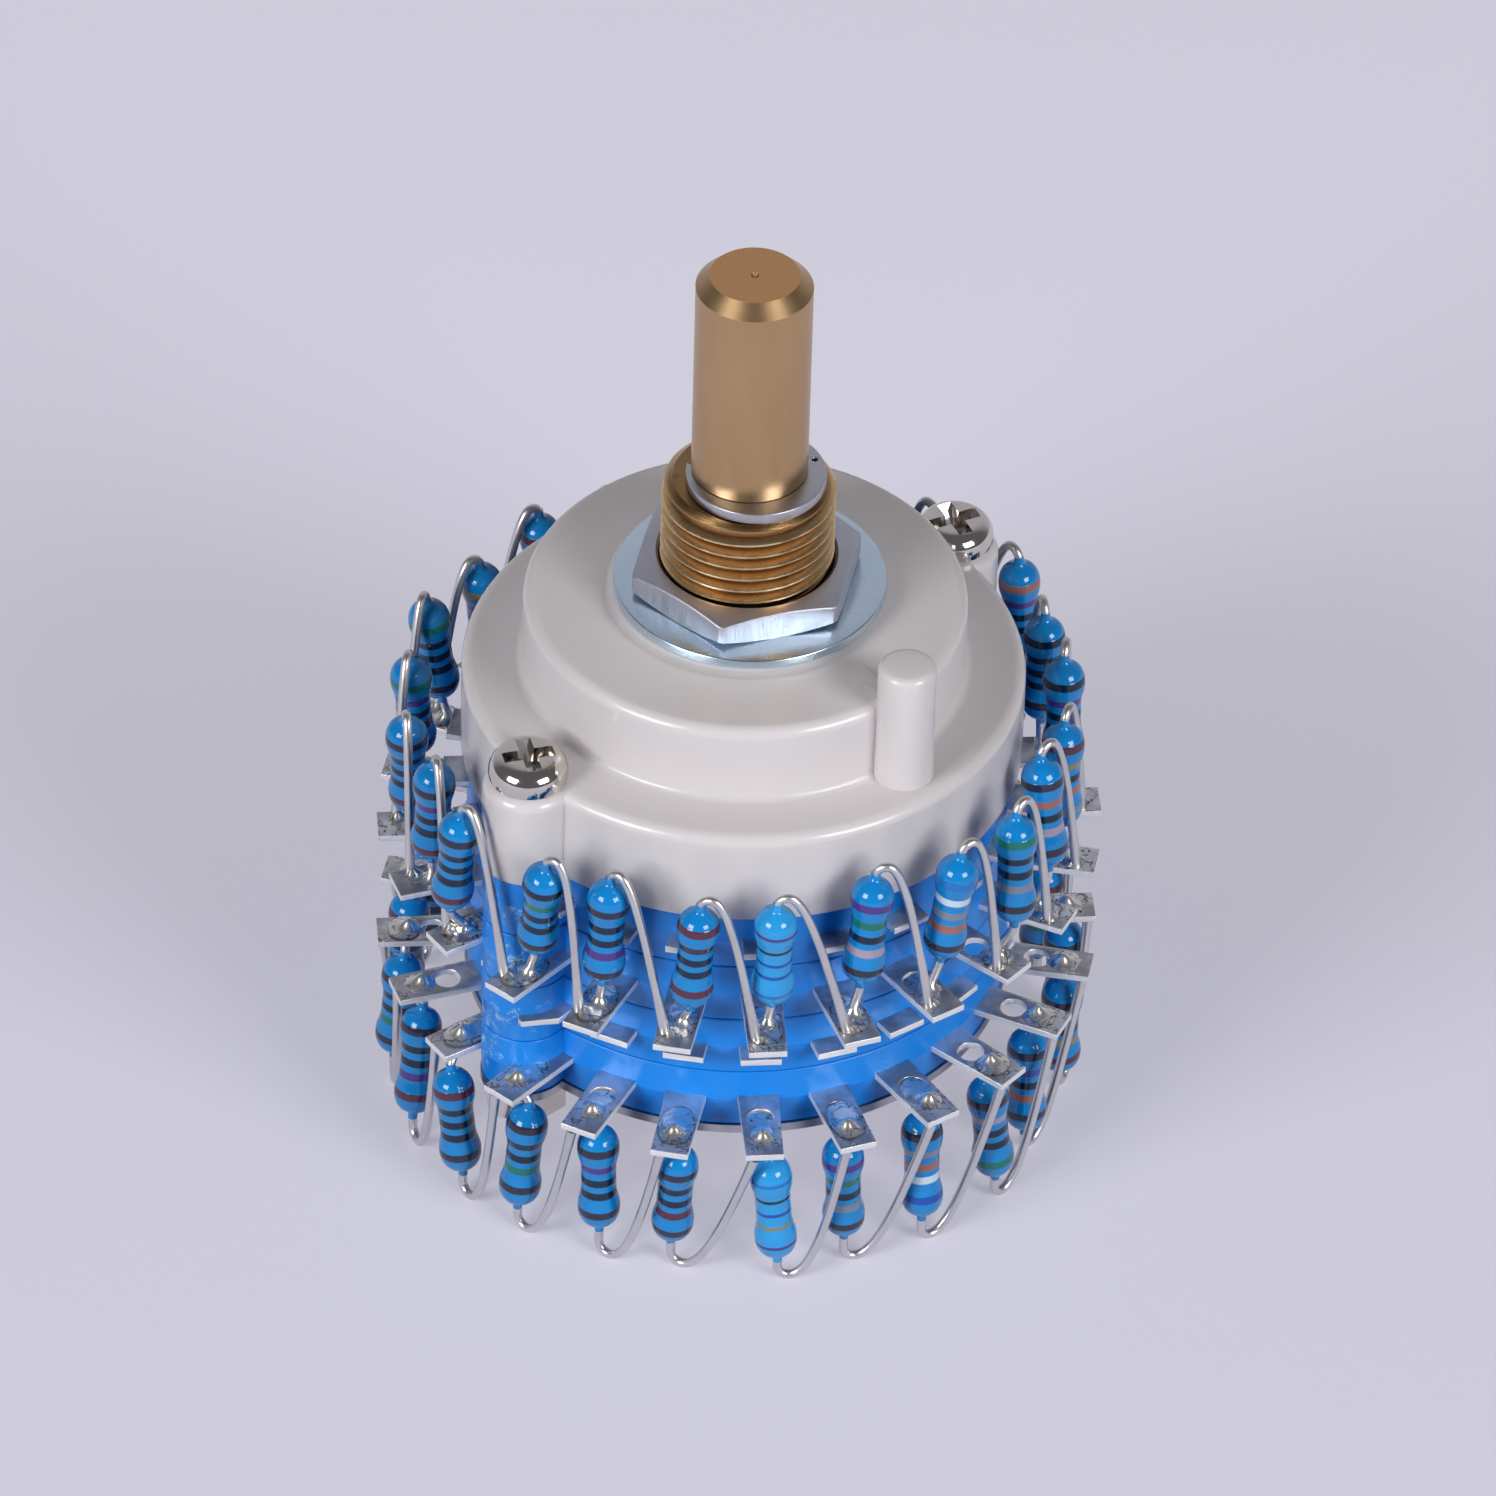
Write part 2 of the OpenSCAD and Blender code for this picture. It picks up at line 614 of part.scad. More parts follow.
// The lower loops all reach down to one level, on which the whole part can stand
module lower_leads() {
    pad_z = lower_lug_z - solder_h;
    color("#c9c9c8") {
        short_leads(lower_foot_at, lower_set, lower_body_z, -1, pad_z);
        for (k = ladder()) {
            start = far_end(k, lower_foot_at, lower_set, lower_body_z, -1);
            end = at_lug(k + 1, lower_foot_at + lower_end[0], lower_end[1], pad_z);
            wire(loop_path(start, lower_lug_z - loop_depth + loop_bend, end, lower_swing, -1));
        }
    }
}

// Solder on one lug: a round pad with sloping edges and a flat top where the leads enter it
module solder_pad(out, z, side) {
    for (k = [0:steps - 1])
        rotate(lug_turn + k * step_angle) translate([out, 0, z]) scale([1, 1, side])
            cylinder(r1 = pad_r, r2 = pad_r - 0.07, h = solder_h);
}

module upper_solder() {
    color("#b9b9b6") solder_pad(upper_pad_at, upper_lug_z, 1);
}

module lower_solder() {
    color("#b9b9b6") {
        solder_pad(lower_pad_at, lower_lug_z, -1);
        solder_pad(lower_foot_at, lower_lug_z + lug_t, 1);
    }
}

// Shaft from its plain end through the bushing and the rotors to its pivot
module shaft() {
    color("#b8925a") {
        difference() {
            rotate_extrude() polygon([
                [0, index_z], [collar_d / 2, index_z], [collar_d / 2, collar_z],
                [shaft_r, collar_z], [shaft_r, clip_z - end_gap], [groove_r, clip_z - end_gap],
                [groove_r, clip_z + clip_t + end_gap], [shaft_r, clip_z + clip_t + end_gap],
                [shaft_r, shaft_reach - shaft_chamfer], [shaft_r - shaft_chamfer, shaft_reach],
                [0, shaft_reach]
            ]);
            translate([0, 0, shaft_reach - drill_d / 2])
                cylinder(r1 = 0, r2 = drill_d / 2 + skin, h = drill_d / 2 + skin);
        }
        flatted(shaft_r, index_z, plate_z + 2 * end_gap);
        disc(pivot_d / 2, plate_z + 2 * end_gap, back_z - pivot_show);
    }
}

// Spring-steel clip: a ring with a mouth, thickest opposite the mouth
module retaining_clip() {
    color("#a8a9ad") translate([0, 0, clip_z]) rotate(clip_turn) difference() {
        translate([clip_shift, 0]) cylinder(r = clip_d / 2, h = clip_t);
        translate([0, 0, -skin]) cylinder(r = clip_bore, h = clip_t + 2 * skin);
        translate([-clip_d, -clip_mouth / 2, -skin]) cube([clip_d, clip_mouth, clip_t + 2 * skin]);
    }
}

// Detent hub with a stop tooth and two radial pockets for the springs and balls
module index_rotor() {
    rest = lug_turn + open_step * step_angle;
    tooth_w = 2 * (stop_at * sin(step_angle / 2) - stop_d / 2 - end_gap);
    color("#3a3a3c") difference() {
        union() {
            disc(index_d / 2, index_z, index_foot);
            rotate(rest) translate([stop_at - tooth_len / 2, -tooth_w / 2, index_z - tooth_h])
                cube([tooth_len, tooth_w, 2 * tooth_h]);
        }
        flatted(shaft_r + run_gap, index_z + skin, index_foot - skin);
        for (side = [90, -90])
            rotate(rest + side) translate([spring_seat, 0, ball_z()]) rotate([0, 90, 0])
                cylinder(r = ball_r + run_gap, h = index_d / 2);
    }
}

function ball_z() = (index_z + index_foot) / 2;

module detent_balls() {
    rest = lug_turn + open_step * step_angle;
    color("#cfd2d6") for (side = [90, -90])
        rotate(rest + side) translate([ball_at, 0, ball_z()]) sphere(r = ball_r);
}

// Coil springs that press the balls outwards
module detent_springs() {
    rest = lug_turn + open_step * step_angle;
    wire_r = spring_wire / 2;
    coil_r = ball_r - wire_r - 0.1;
    from = spring_seat + wire_r + end_gap;
    to = ball_at - sqrt(ball_r * ball_r - coil_r * coil_r) - 2 * wire_r;
    per_turn = 12;
    count = spring_turns * per_turn;
    sides = 6;
    points = [
        for (i = [0:count], j = [0:sides - 1])
            let (a = i * 360 / per_turn, b = 360 * j / sides, r = coil_r + wire_r * cos(b))
                [from + (to - from) * i / count + wire_r * sin(b), r * cos(a), r * sin(a)]
    ];
    walls = [
        for (i = [0:count - 1], j = [0:sides - 1])
            let (a = i * sides + j, b = i * sides + (j + 1) % sides)
                each [[a, a + sides, b], [b, a + sides, b + sides]]
    ];
    ends = [
        [for (j = [0:sides - 1]) j],
        [for (j = [sides - 1:-1:0]) count * sides + j]
    ];
    color("#9fa3a8") for (side = [90, -90])
        rotate(rest + side) translate([0, 0, ball_z()]) polyhedron(points, concat(walls, ends));
}

// Moulded rotor of one wafer: a disc on a hub that the shaft's flats drive
module rotor(deck) {
    top = deck_z(deck);
    color("#ded9cf") difference() {
        union() {
            disc(rotor_r, top + disc_top, top + disc_foot);
            disc(hub_r, top + disc_top, top - wafer_t + 3 * end_gap);
        }
        flatted(shaft_r + run_gap, top, top - wafer_t);
    }
}

// Wiper spring under the rotor, from the collector ring to one contact finger
module wiper(deck) {
    foot = deck_z(deck) + contact_top + end_gap;
    half_w = finger_w / 2;
    inner = (collector_in + collector_out) / 2;
    outer = finger_at + finger_len / 3;
    color("#d8b25a") rotate(lug_turn + open_step * step_angle) {
        translate([0, 0, foot + dimple_h]) linear_extrude(wiper_t) polygon([
            [inner - half_w, -half_w], [outer + half_w, -half_w], [outer + 1.5 * half_w, 0],
            [outer + half_w, half_w], [inner - half_w, half_w]
        ]);
        for (x = [inner, outer])
            translate([x, 0, foot]) cylinder(r1 = dimple_h, r2 = 2 * dimple_h, h = dimple_h);
    }
}

housing();
bushing();
mounting_washer();
mounting_nut();
stop_pin();
wafer(0);  // wafer_1
wafer(1);  // wafer_2
wafer(2);  // wafer_3
wafer(3);  // wafer_4
lugs(0, stub_reach, false);  // lugs_1
lugs(1, lug_reach, true);  // lugs_2
lugs(2, stub_reach, false);  // lugs_3
lugs(3, lug_reach, true);  // lugs_4
collector(0);  // collector_1
collector(1);  // collector_2
collector(2);  // collector_3
collector(3);  // collector_4
rear_plate();
through_screws();
screw_nuts();
upper_resistors();
upper_leads();
upper_solder();
lower_resistors();
lower_leads();
lower_solder();
shaft();
retaining_clip();
index_rotor();
detent_balls();
detent_springs();
rotor(0);  // rotor_1
rotor(1);  // rotor_2
rotor(2);  // rotor_3
rotor(3);  // rotor_4
wiper(0);  // wiper_1
wiper(1);  // wiper_2
wiper(2);  // wiper_3
wiper(3);  // wiper_4
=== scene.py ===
import json
import math
import random

import bmesh
import bpy
import numpy as np
from mathutils import Matrix, Vector
from mathutils.noise import noise as smoothNoise


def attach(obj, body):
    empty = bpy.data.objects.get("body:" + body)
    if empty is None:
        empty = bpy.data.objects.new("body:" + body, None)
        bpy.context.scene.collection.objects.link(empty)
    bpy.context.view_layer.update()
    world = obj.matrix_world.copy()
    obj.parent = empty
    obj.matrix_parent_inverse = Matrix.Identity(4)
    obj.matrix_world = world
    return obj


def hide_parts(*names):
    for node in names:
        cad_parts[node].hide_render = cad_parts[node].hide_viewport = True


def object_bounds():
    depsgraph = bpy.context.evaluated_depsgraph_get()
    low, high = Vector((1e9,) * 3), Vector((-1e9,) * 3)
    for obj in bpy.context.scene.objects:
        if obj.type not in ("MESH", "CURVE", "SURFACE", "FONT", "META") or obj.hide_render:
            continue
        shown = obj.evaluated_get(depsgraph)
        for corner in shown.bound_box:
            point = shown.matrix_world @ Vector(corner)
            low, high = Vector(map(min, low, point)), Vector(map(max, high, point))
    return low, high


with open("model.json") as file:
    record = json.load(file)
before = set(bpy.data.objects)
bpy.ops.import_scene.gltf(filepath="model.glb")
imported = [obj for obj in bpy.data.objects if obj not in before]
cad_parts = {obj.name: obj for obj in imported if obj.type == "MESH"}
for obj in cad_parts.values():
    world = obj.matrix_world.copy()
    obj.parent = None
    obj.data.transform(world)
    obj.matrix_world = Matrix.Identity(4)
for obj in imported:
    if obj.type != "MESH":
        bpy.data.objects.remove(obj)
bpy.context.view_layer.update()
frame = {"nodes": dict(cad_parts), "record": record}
print("frame loaded:", len(frame["nodes"]), "nodes")

scene = bpy.context.scene
mm = 0.001

# What the CAD model says, in millimetres and degrees
stack = {
    "decks": 4, "steps": 24, "openStep": 5, "lugTurn": 5.6,
    "foot": -10.3, "waferThickness": 3.6, "waferRadius": 14.35,
    "screwAt": 14.85, "screwTurn": 43.1, "earRadius": 2.3,
    "lugThickness": 0.4, "floorDrop": 2.0,
}
decks = range(1, stack["decks"] + 1)
earTurns = [stack["screwTurn"], stack["screwTurn"] + 180]


# Meshes

def linkObject(name, mesh):
    obj = bpy.data.objects.new(name, mesh)
    scene.collection.objects.link(obj)
    return obj


def shadeByAngle(mesh, degrees):
    mesh.polygons.foreach_set("use_smooth", [True] * len(mesh.polygons))
    mesh.set_sharp_from_angle(angle=math.radians(degrees))


def meshObject(name, points, faces, sharpAngle=35, edges=()):
    mesh = bpy.data.meshes.new(name)
    scaled = np.asarray(points, float) * mm
    mesh.from_pydata(scaled.tolist(), list(edges), [tuple(int(i) for i in f) for f in faces])
    mesh.update()
    if len(mesh.polygons):
        shadeByAngle(mesh, sharpAngle)
    return linkObject(name, mesh)


def evenAngles(count):
    return np.linspace(0, 2 * math.pi, count, endpoint=False)


def ringFaces(rows, around, loop):
    # Quads between rings that run anticlockwise, each next ring further along the profile
    faces = []
    for i in range(rows if loop else rows - 1):
        a, b = i * around, ((i + 1) % rows) * around
        for j in range(around):
            k = (j + 1) % around
            faces.append((a + j, a + k, b + k, b + j))
    return faces


def ringsObject(name, rings, angles, sharpAngle=35, loop=True):
    # Rings round the axis, each a radius and a height, which are one number or one for each angle
    radii = np.array([np.broadcast_to(radius, angles.shape) for radius, height in rings], float)
    heights = np.array([np.broadcast_to(height, angles.shape) for radius, height in rings], float)
    rows, around = radii.shape
    points = np.stack([radii * np.cos(angles), radii * np.sin(angles), heights], -1).reshape(-1, 3)
    faces = ringFaces(rows, around, loop)
    if not loop:
        # A point on the axis closes each end
        points = np.vstack([points, [0, 0, heights[0].mean()], [0, 0, heights[-1].mean()]])
        end, tip = (rows - 1) * around, rows * around
        for j in range(around):
            k = (j + 1) % around
            faces += [(k, j, tip), (end + j, end + k, tip + 1)]
    return meshObject(name, points, faces, sharpAngle)


def turnedObject(name, profile, around=96, sharpAngle=35, loop=True):
    return ringsObject(name, profile, evenAngles(around), sharpAngle, loop)


def rotated(point, degrees):
    a = math.radians(degrees)
    x, y, z = point
    return np.array([x * math.cos(a) - y * math.sin(a), x * math.sin(a) + y * math.cos(a), z])


def lugTurn(k):
    return stack["lugTurn"] + k * 360 / stack["steps"]


def atLug(k, out, along, z):
    return rotated((out, along, z), lugTurn(k))


def deckTop(deck):
    return stack["foot"] - (deck - 1) * stack["waferThickness"]


def bakeModifiers(obj):
    graph = bpy.context.evaluated_depsgraph_get()
    mesh = bpy.data.meshes.new_from_object(
        obj.evaluated_get(graph), preserve_all_data_layers=True, depsgraph=graph)
    obj.modifiers.clear()
    obj.data = mesh
    return obj


stamping = {"edgeSteps": 2, "weld": 0.002, "sharpAngle": 40}


def stampedObject(name, outlines, thickness, edge, foot):
    # Flat stamping with rounded edges: the first outline is its rim, and the others are holes
    curve = bpy.data.curves.new(name, "CURVE")
    curve.dimensions, curve.fill_mode = "2D", "BOTH"
    curve.extrude, curve.bevel_depth = (thickness / 2 - edge) * mm, edge * mm
    curve.bevel_resolution, curve.offset = stamping["edgeSteps"], -edge * mm
    for outline in outlines:
        spline = curve.splines.new("POLY")
        spline.points.add(len(outline) - 1)
        for point, place in zip(spline.points, outline):
            point.co = (place[0] * mm, place[1] * mm, 0, 1)
        spline.use_cyclic_u = True
    flat = bpy.data.objects.new(name + "Outline", curve)
    scene.collection.objects.link(flat)
    graph = bpy.context.evaluated_depsgraph_get()
    mesh = bpy.data.meshes.new_from_object(flat.evaluated_get(graph))
    bpy.data.objects.remove(flat)
    mesh.transform(Matrix.Translation((0, 0, (foot + thickness / 2) * mm)))
    obj = linkObject(name, mesh)
    weld = obj.modifiers.new("weld", "WELD")
    weld.merge_threshold = stamping["weld"] * mm
    bakeModifiers(obj)
    shadeByAngle(obj.data, stamping["sharpAngle"])
    return obj


# Nodes

class Reading:
    # An output socket whose arithmetic adds Math nodes to its graph

    def __init__(self, graph, link):
        self.graph, self.link = graph, link

    def math(self, operation, *others):
        values = dict(enumerate((self,) + others))
        return self.graph.add("ShaderNodeMath", {"operation": operation}, values)

    def reversedMath(self, operation, other):
        return self.graph.add("ShaderNodeMath", {"operation": operation}, {0: other, 1: self})

    def __add__(self, other): return self.math("ADD", other)
    def __sub__(self, other): return self.math("SUBTRACT", other)
    def __mul__(self, other): return self.math("MULTIPLY", other)
    def __truediv__(self, other): return self.math("DIVIDE", other)
    def __rsub__(self, other): return self.reversedMath("SUBTRACT", other)
    __radd__ = __add__
    __rmul__ = __mul__

    def size(self): return self.math("ABSOLUTE")
    def root(self): return self.math("SQRT")

    def step(self, low, high):
        # 0 below low, 1 above high, and a smooth ramp between them
        return self.graph.add(
            "ShaderNodeMapRange", {"interpolation_type": "SMOOTHSTEP"},
            {"Value": self, "From Min": low, "From Max": high})


class Graph:
    def __init__(self, tree, keep=False):
        self.tree = tree
        if not keep:
            tree.nodes.clear()

    def add(self, kind, settings=None, sockets=None, output=0):
        # A node of any kind. Gives a reading of its output, or the node where output is None
        node = self.tree.nodes.new(kind)
        for name, value in (settings or {}).items():
            setattr(node, name, value)
        for name, value in (sockets or {}).items():
            if isinstance(value, Reading):
                self.tree.links.new(value.link, node.inputs[name])
            else:
                node.inputs[name].default_value = value
        return Reading(self, node.outputs[output]) if output is not None else node

    def noise(self, place, scale, detail=3, roughness=0.5):
        return self.add("ShaderNodeTexNoise", {}, {
            "Vector": place, "Scale": scale, "Detail": detail, "Roughness": roughness})

    def stretch(self, place, x, y, z):
        return self.add("ShaderNodeVectorMath", {"operation": "MULTIPLY"}, {0: place, 1: (x, y, z)})

    def parts(self, place):
        node = self.add("ShaderNodeSeparateXYZ", {}, {0: place}, None)
        return [Reading(self, socket) for socket in node.outputs]

    def fromAxis(self, place):
        # Distance from the shaft's axis, and the height
        x, y, z = self.parts(place)
        return (x * x + y * y).root(), z

    def join(self, x, y, z):
        return self.add("ShaderNodeCombineXYZ", {}, {0: x, 1: y, 2: z})

    def mix(self, factor, a, b):
        return self.add("ShaderNodeMix", {"data_type": "RGBA"}, {0: factor, 6: a, 7: b}, 2)

    def attribute(self, name, output="Fac"):
        return self.add("ShaderNodeAttribute", {"attribute_name": name}, {}, output)

    def bump(self, height, depth):
        return self.add("ShaderNodeBump", {}, {"Height": height, "Distance": depth * mm}, "Normal")


def tone(red, green, blue):
    # A colour as a screen shows it, 0 to 255, turned linear for the shaders
    def linear(v):
        v /= 255
        return v / 12.92 if v <= 0.04045 else ((v + 0.055) / 1.055) ** 2.4
    return (linear(red), linear(green), linear(blue), 1)


def surface(name, build):
    material = bpy.data.materials.new(name)
    material.use_nodes = True
    graph = Graph(material.node_tree)
    place = graph.add("ShaderNodeTexCoord", {}, {}, "Object")
    shader = graph.add("ShaderNodeBsdfPrincipled", {}, build(graph, place))
    graph.add("ShaderNodeOutputMaterial", {}, {"Surface": shader}, None)
    return material


# Finishes

# Where a finish changes over its piece, in millimetres
finishEdges = {
    "shaftEnd": (19.96, 19.99), "threadCrest": (4.34, 4.46), "threadFlank": (4.1, 4.3),
    "threadFoot": (0.8, 1.2), "lugTip": (15.8, 17.5), "pillar": (15.0, 15.8),
}


def past(distance, name):
    # 0 short of the named place, and 1 beyond it
    low, high = finishEdges[name]
    return distance.step(low * mm, high * mm)


def offWhiteMoulding(g, place):
    cloud = g.noise(place, 90, 2)
    ripple = g.noise(place, 420, 2)
    grain = g.noise(place, 5000, 2)
    return {
        "Base Color": g.mix(cloud, tone(212, 207, 209), tone(220, 215, 216)),
        "Roughness": 0.17 + cloud * 0.1,
        "Subsurface Weight": 0.35, "Subsurface Radius": (1, 0.9, 0.85), "Subsurface Scale": 0.0014,
        "Specular IOR Level": 0.5,
        "Normal": g.bump(ripple * 4 + grain * 0.12, 0.006),
    }


def turnedBrass(g, place):
    # Fine rings left by a lathe: lines across Z on the side, and round the axis on the end
    radius, z = g.fromAxis(place)
    marks = g.noise(g.join(radius * 16000, z * 16000, 0), 1, 2, 0.7)
    cloud = g.noise(g.stretch(place, 1, 1, 0.3), 420, 4)
    side = g.mix(cloud, tone(186, 152, 111), tone(206, 171, 129))
    return {
        "Base Color": g.mix(past(z, "shaftEnd") * 0.85, side, tone(220, 167, 112)),
        "Metallic": 1.0,
        "Roughness": 0.24 + marks * 0.12 + cloud * 0.06,
        "Normal": g.bump(marks, 0.002),
    }


def threadedBrass(g, place):
    # Streaks run with the thread. The crests carry a painted highlight, broken up in places, and
    # the valleys carry painted shade
    radius, z = g.fromAxis(place)
    streaks = g.noise(g.stretch(place, 1, 1, 9), 420, 4, 0.6)
    stainAndHighlightNoise = g.noise(g.stretch(place, 1, 1, 2.5), 900, 4, 0.7)
    # Painted highlight along the crests, broken up by the same noise that lays the dark stains
    crest = past(radius, "threadCrest") * (0.25 + stainAndHighlightNoise.step(0.4, 0.56) * 0.75)
    # Painted shade in the thread's valleys
    valleyShade = (1 - past(radius, "threadFlank")) * past(z, "threadFoot")
    metal = g.mix(streaks, tone(194, 152, 102), tone(230, 192, 138))
    metal = g.mix(valleyShade * (1 - streaks * 0.6), metal, tone(120, 86, 54))
    metal = g.mix(stainAndHighlightNoise.step(0.56, 0.7) * 0.45, metal, tone(112, 78, 46))
    return {
        "Base Color": g.mix(crest * 0.75, metal, tone(255, 230, 184)),
        "Metallic": 1.0,
        "Roughness": 0.15 + streaks * 0.2,
        "Normal": g.bump(streaks + stainAndHighlightNoise * 0.6, 0.014),
    }


def blueZinc(g, place):
    brushed = g.noise(g.stretch(place, 1, 7, 1), 260, 4, 0.6)
    cloud = g.noise(place, 140, 2)
    return {
        "Base Color": g.mix(cloud, tone(196, 218, 234), tone(214, 232, 244)),
        "Metallic": 1.0,
        "Roughness": 0.2 + brushed * 0.12,
        "Normal": g.bump(brushed, 0.008),
    }


def zincPlate(g, place):
    scratches = g.noise(g.stretch(place, 5, 1, 1), 520, 5, 0.6)
    grain = g.noise(g.stretch(place, 6, 6, 1), 500, 4, 0.6)
    cloud = g.noise(place, 220, 3)
    return {
        "Base Color": g.mix(cloud, tone(182, 183, 193), tone(206, 207, 216)),
        "Metallic": 1.0,
        "Roughness": 0.34 + scratches * 0.26,
        "Normal": g.bump(scratches + grain, 0.014),
    }


def springSteel(g, place):
    grain = g.noise(place, 1600, 4, 0.6)
    return {
        "Base Color": g.mix(grain, tone(176, 176, 182), tone(206, 206, 212)),
        "Metallic": 1.0,
        "Roughness": 0.24 + grain * 0.18,
        "Normal": g.bump(grain, 0.008),
    }


def nickelPlate(g, place):
    ripple = g.noise(place, 700, 2)
    return {
        "Base Color": g.mix(ripple, tone(206, 200, 194), tone(224, 219, 213)),
        "Metallic": 1.0,
        "Roughness": 0.07 + ripple * 0.05,
        "Normal": g.bump(ripple, 0.01),
    }


def tinnedStrip(g, place):
    # Satin tin with a painted highlight on the cut edges, whose side faces are painted near white
    # and less metallic, and flux marks round the solder near the tips of the lugs
    cloud = g.noise(place, 420, 4, 0.55)
    fine = g.noise(place, 2600, 3, 0.6)
    curls = g.noise(place, 1250, 2, 0.6)
    curled = 1 - (curls - 0.5).size().step(0.0, 0.035)
    stain = past(g.fromAxis(place)[0], "lugTip") * curled * cloud.step(0.42, 0.56)
    facing = g.parts(g.add("ShaderNodeNewGeometry", {}, {}, "Normal"))
    # Painted highlight: faces that don't face up or down, the cut edges, are painted near white
    cut = 1 - facing[2].size().step(0.3, 0.7)
    tin = g.mix(cloud.step(0.36, 0.64), tone(164, 162, 164), tone(228, 228, 232))
    color = g.mix(stain * 0.85, tin, tone(80, 70, 60))
    return {
        "Base Color": g.mix(cut * 0.9, color, tone(244, 245, 248)),
        "Metallic": 0.86 - cut * 0.3,
        "Roughness": 0.24 + cloud * 0.24 + stain * 0.1,
        "Normal": g.bump(cloud + fine * 0.15 - stain * 0.5, 0.02),
    }


def tinnedWire(g, place):
    cloud = g.noise(place, 500, 3, 0.5)
    return {
        "Base Color": g.mix(cloud, tone(200, 199, 200), tone(226, 225, 225)),
        "Metallic": 1.0,
        "Roughness": 0.3 + cloud * 0.1,
        "Normal": g.bump(cloud, 0.006),
    }


def brightSolder(g, place):
    # Dark flux lies in thin curls near the rim of each joint
    cloud = g.noise(place, 700, 2, 0.5)
    curls = g.noise(place, 1500, 2, 0.5)
    inward = g.attribute("inward")
    lines = 1 - (curls - 0.5).size().step(0.0, 0.035)
    flux = (lines * (1 - inward.step(0.3, 0.55)) + (1 - inward.step(0.02, 0.1)) * 0.6) * 0.85
    metal = g.mix(cloud, tone(214, 212, 208), tone(242, 240, 236))
    return {
        "Base Color": g.mix(flux, metal, tone(76, 66, 54)),
        "Metallic": 0.92,
        "Roughness": 0.16 + cloud * 0.16 + flux * 0.2,
        "Normal": g.bump(cloud, 0.02),
    }


def blueMoulding(g, place):
    # Scuffs lie in patches on the two pillars, where the wafers' ears line up
    cloud = g.noise(place, 120, 3)
    patch = g.noise(g.stretch(place, 1, 1, 1.6), 330, 3, 0.6)
    fleck = g.noise(place, 1900, 5, 0.75)
    scuff = past(g.fromAxis(place)[0], "pillar") * patch.step(0.5, 0.58) * fleck.step(0.5, 0.62)
    speck = g.noise(place, 900, 2).step(0.74, 0.78)
    pale = (scuff * 0.75 + speck * 0.35).math("MINIMUM", 1.0)
    blue = g.mix(cloud, tone(10, 128, 226), tone(16, 138, 234))
    return {
        "Base Color": g.mix(pale, blue, tone(160, 212, 250)),
        "Roughness": 0.25 + cloud * 0.1 + scuff * 0.2,
        "Normal": g.bump(scuff + cloud * 0.2, 0.012),
    }


bandCentres = [0.155, 0.34, 0.485, 0.62, 0.815]   # shares of a body's length, from its upper end


def bandedEnamel(g, place):
    # Enamel with five painted rings, whose colours each resistor carries as attributes
    share = g.attribute("share") - g.attribute("slip")
    half = g.attribute("ringWidth") * 0.5
    wobble = (g.noise(place, 620, 2) - 0.5) * 0.02
    color = g.attribute("enamel", "Color")
    paint = 0
    for i, centre in enumerate(bandCentres):
        inside = 1 - ((share + wobble - centre).size() - half).step(-0.007, 0.007)
        color = g.mix(inside * 0.94, color, g.attribute("ring%d" % i, "Color"))
        paint = inside + paint
    cloud = g.noise(place, 500, 3)
    return {
        "Base Color": color,
        "Roughness": 0.08 + cloud * 0.04,
        "Normal": g.bump(paint + cloud * 0.3, 0.012),
    }


def springBronze(g, place):
    grain = g.noise(place, 900, 4, 0.6)
    return {
        "Base Color": g.mix(grain, tone(196, 160, 96), tone(222, 188, 122)),
        "Metallic": 1.0,
        "Roughness": 0.24 + grain * 0.2,
        "Normal": g.bump(grain, 0.008),
    }


def darkFilled(g, place):
    grain = g.noise(place, 3000, 3)
    return {
        "Base Color": g.mix(grain, tone(52, 52, 55), tone(70, 70, 73)),
        "Roughness": 0.45 + grain * 0.2,
        "Normal": g.bump(grain, 0.01),
    }


def naturalPlastic(g, place):
    cloud = g.noise(place, 300, 3)
    return {
        "Base Color": g.mix(cloud, tone(226, 220, 206), tone(238, 233, 222)),
        "Roughness": 0.38 + cloud * 0.1,
        "Normal": g.bump(cloud, 0.01),
    }


finishes = {
    "housing": surface("offWhiteMoulding", offWhiteMoulding),
    "shaft": surface("turnedBrass", turnedBrass),
    "bushing": surface("threadedBrass", threadedBrass),
    "washer": surface("blueZinc", blueZinc),
    "nut": surface("zincPlate", zincPlate),
    "steel": surface("springSteel", springSteel),
    "wafer": surface("blueMoulding", blueMoulding),
    "lug": surface("tinnedStrip", tinnedStrip),
    "contact": surface("springBronze", springBronze),
    "plate": surface("springSteelSheet", springSteel),
    "screw": surface("nickelPlate", nickelPlate),
    "resistor": surface("bandedEnamel", bandedEnamel),
    "lead": surface("tinnedWire", tinnedWire),
    "solder": surface("brightSolder", brightSolder),
    "index": surface("darkFilled", darkFilled),
    "rotor": surface("naturalPlastic", naturalPlastic),
}
print("finishes made:", len(finishes))

for part in frame["record"]["subparts"]:
    cadNode = frame["nodes"][part["node"]]
    cadNode.data.materials.clear()
    cadNode.data.materials.append(finishes[part["material_slot"]])


def finishPiece(obj, slotName, body, *nodes):
    # The finish of a piece, the body that carries it, and the CAD nodes that it stands for
    if not obj.data.materials or obj.data.materials[0] is None:
        obj.data.materials.clear()
        obj.data.materials.append(finishes[slotName])
    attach(obj, body)
    if nodes:
        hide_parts(*nodes)
    return obj


cadWeld = 0.0015   # joins a CAD mesh's loose triangles


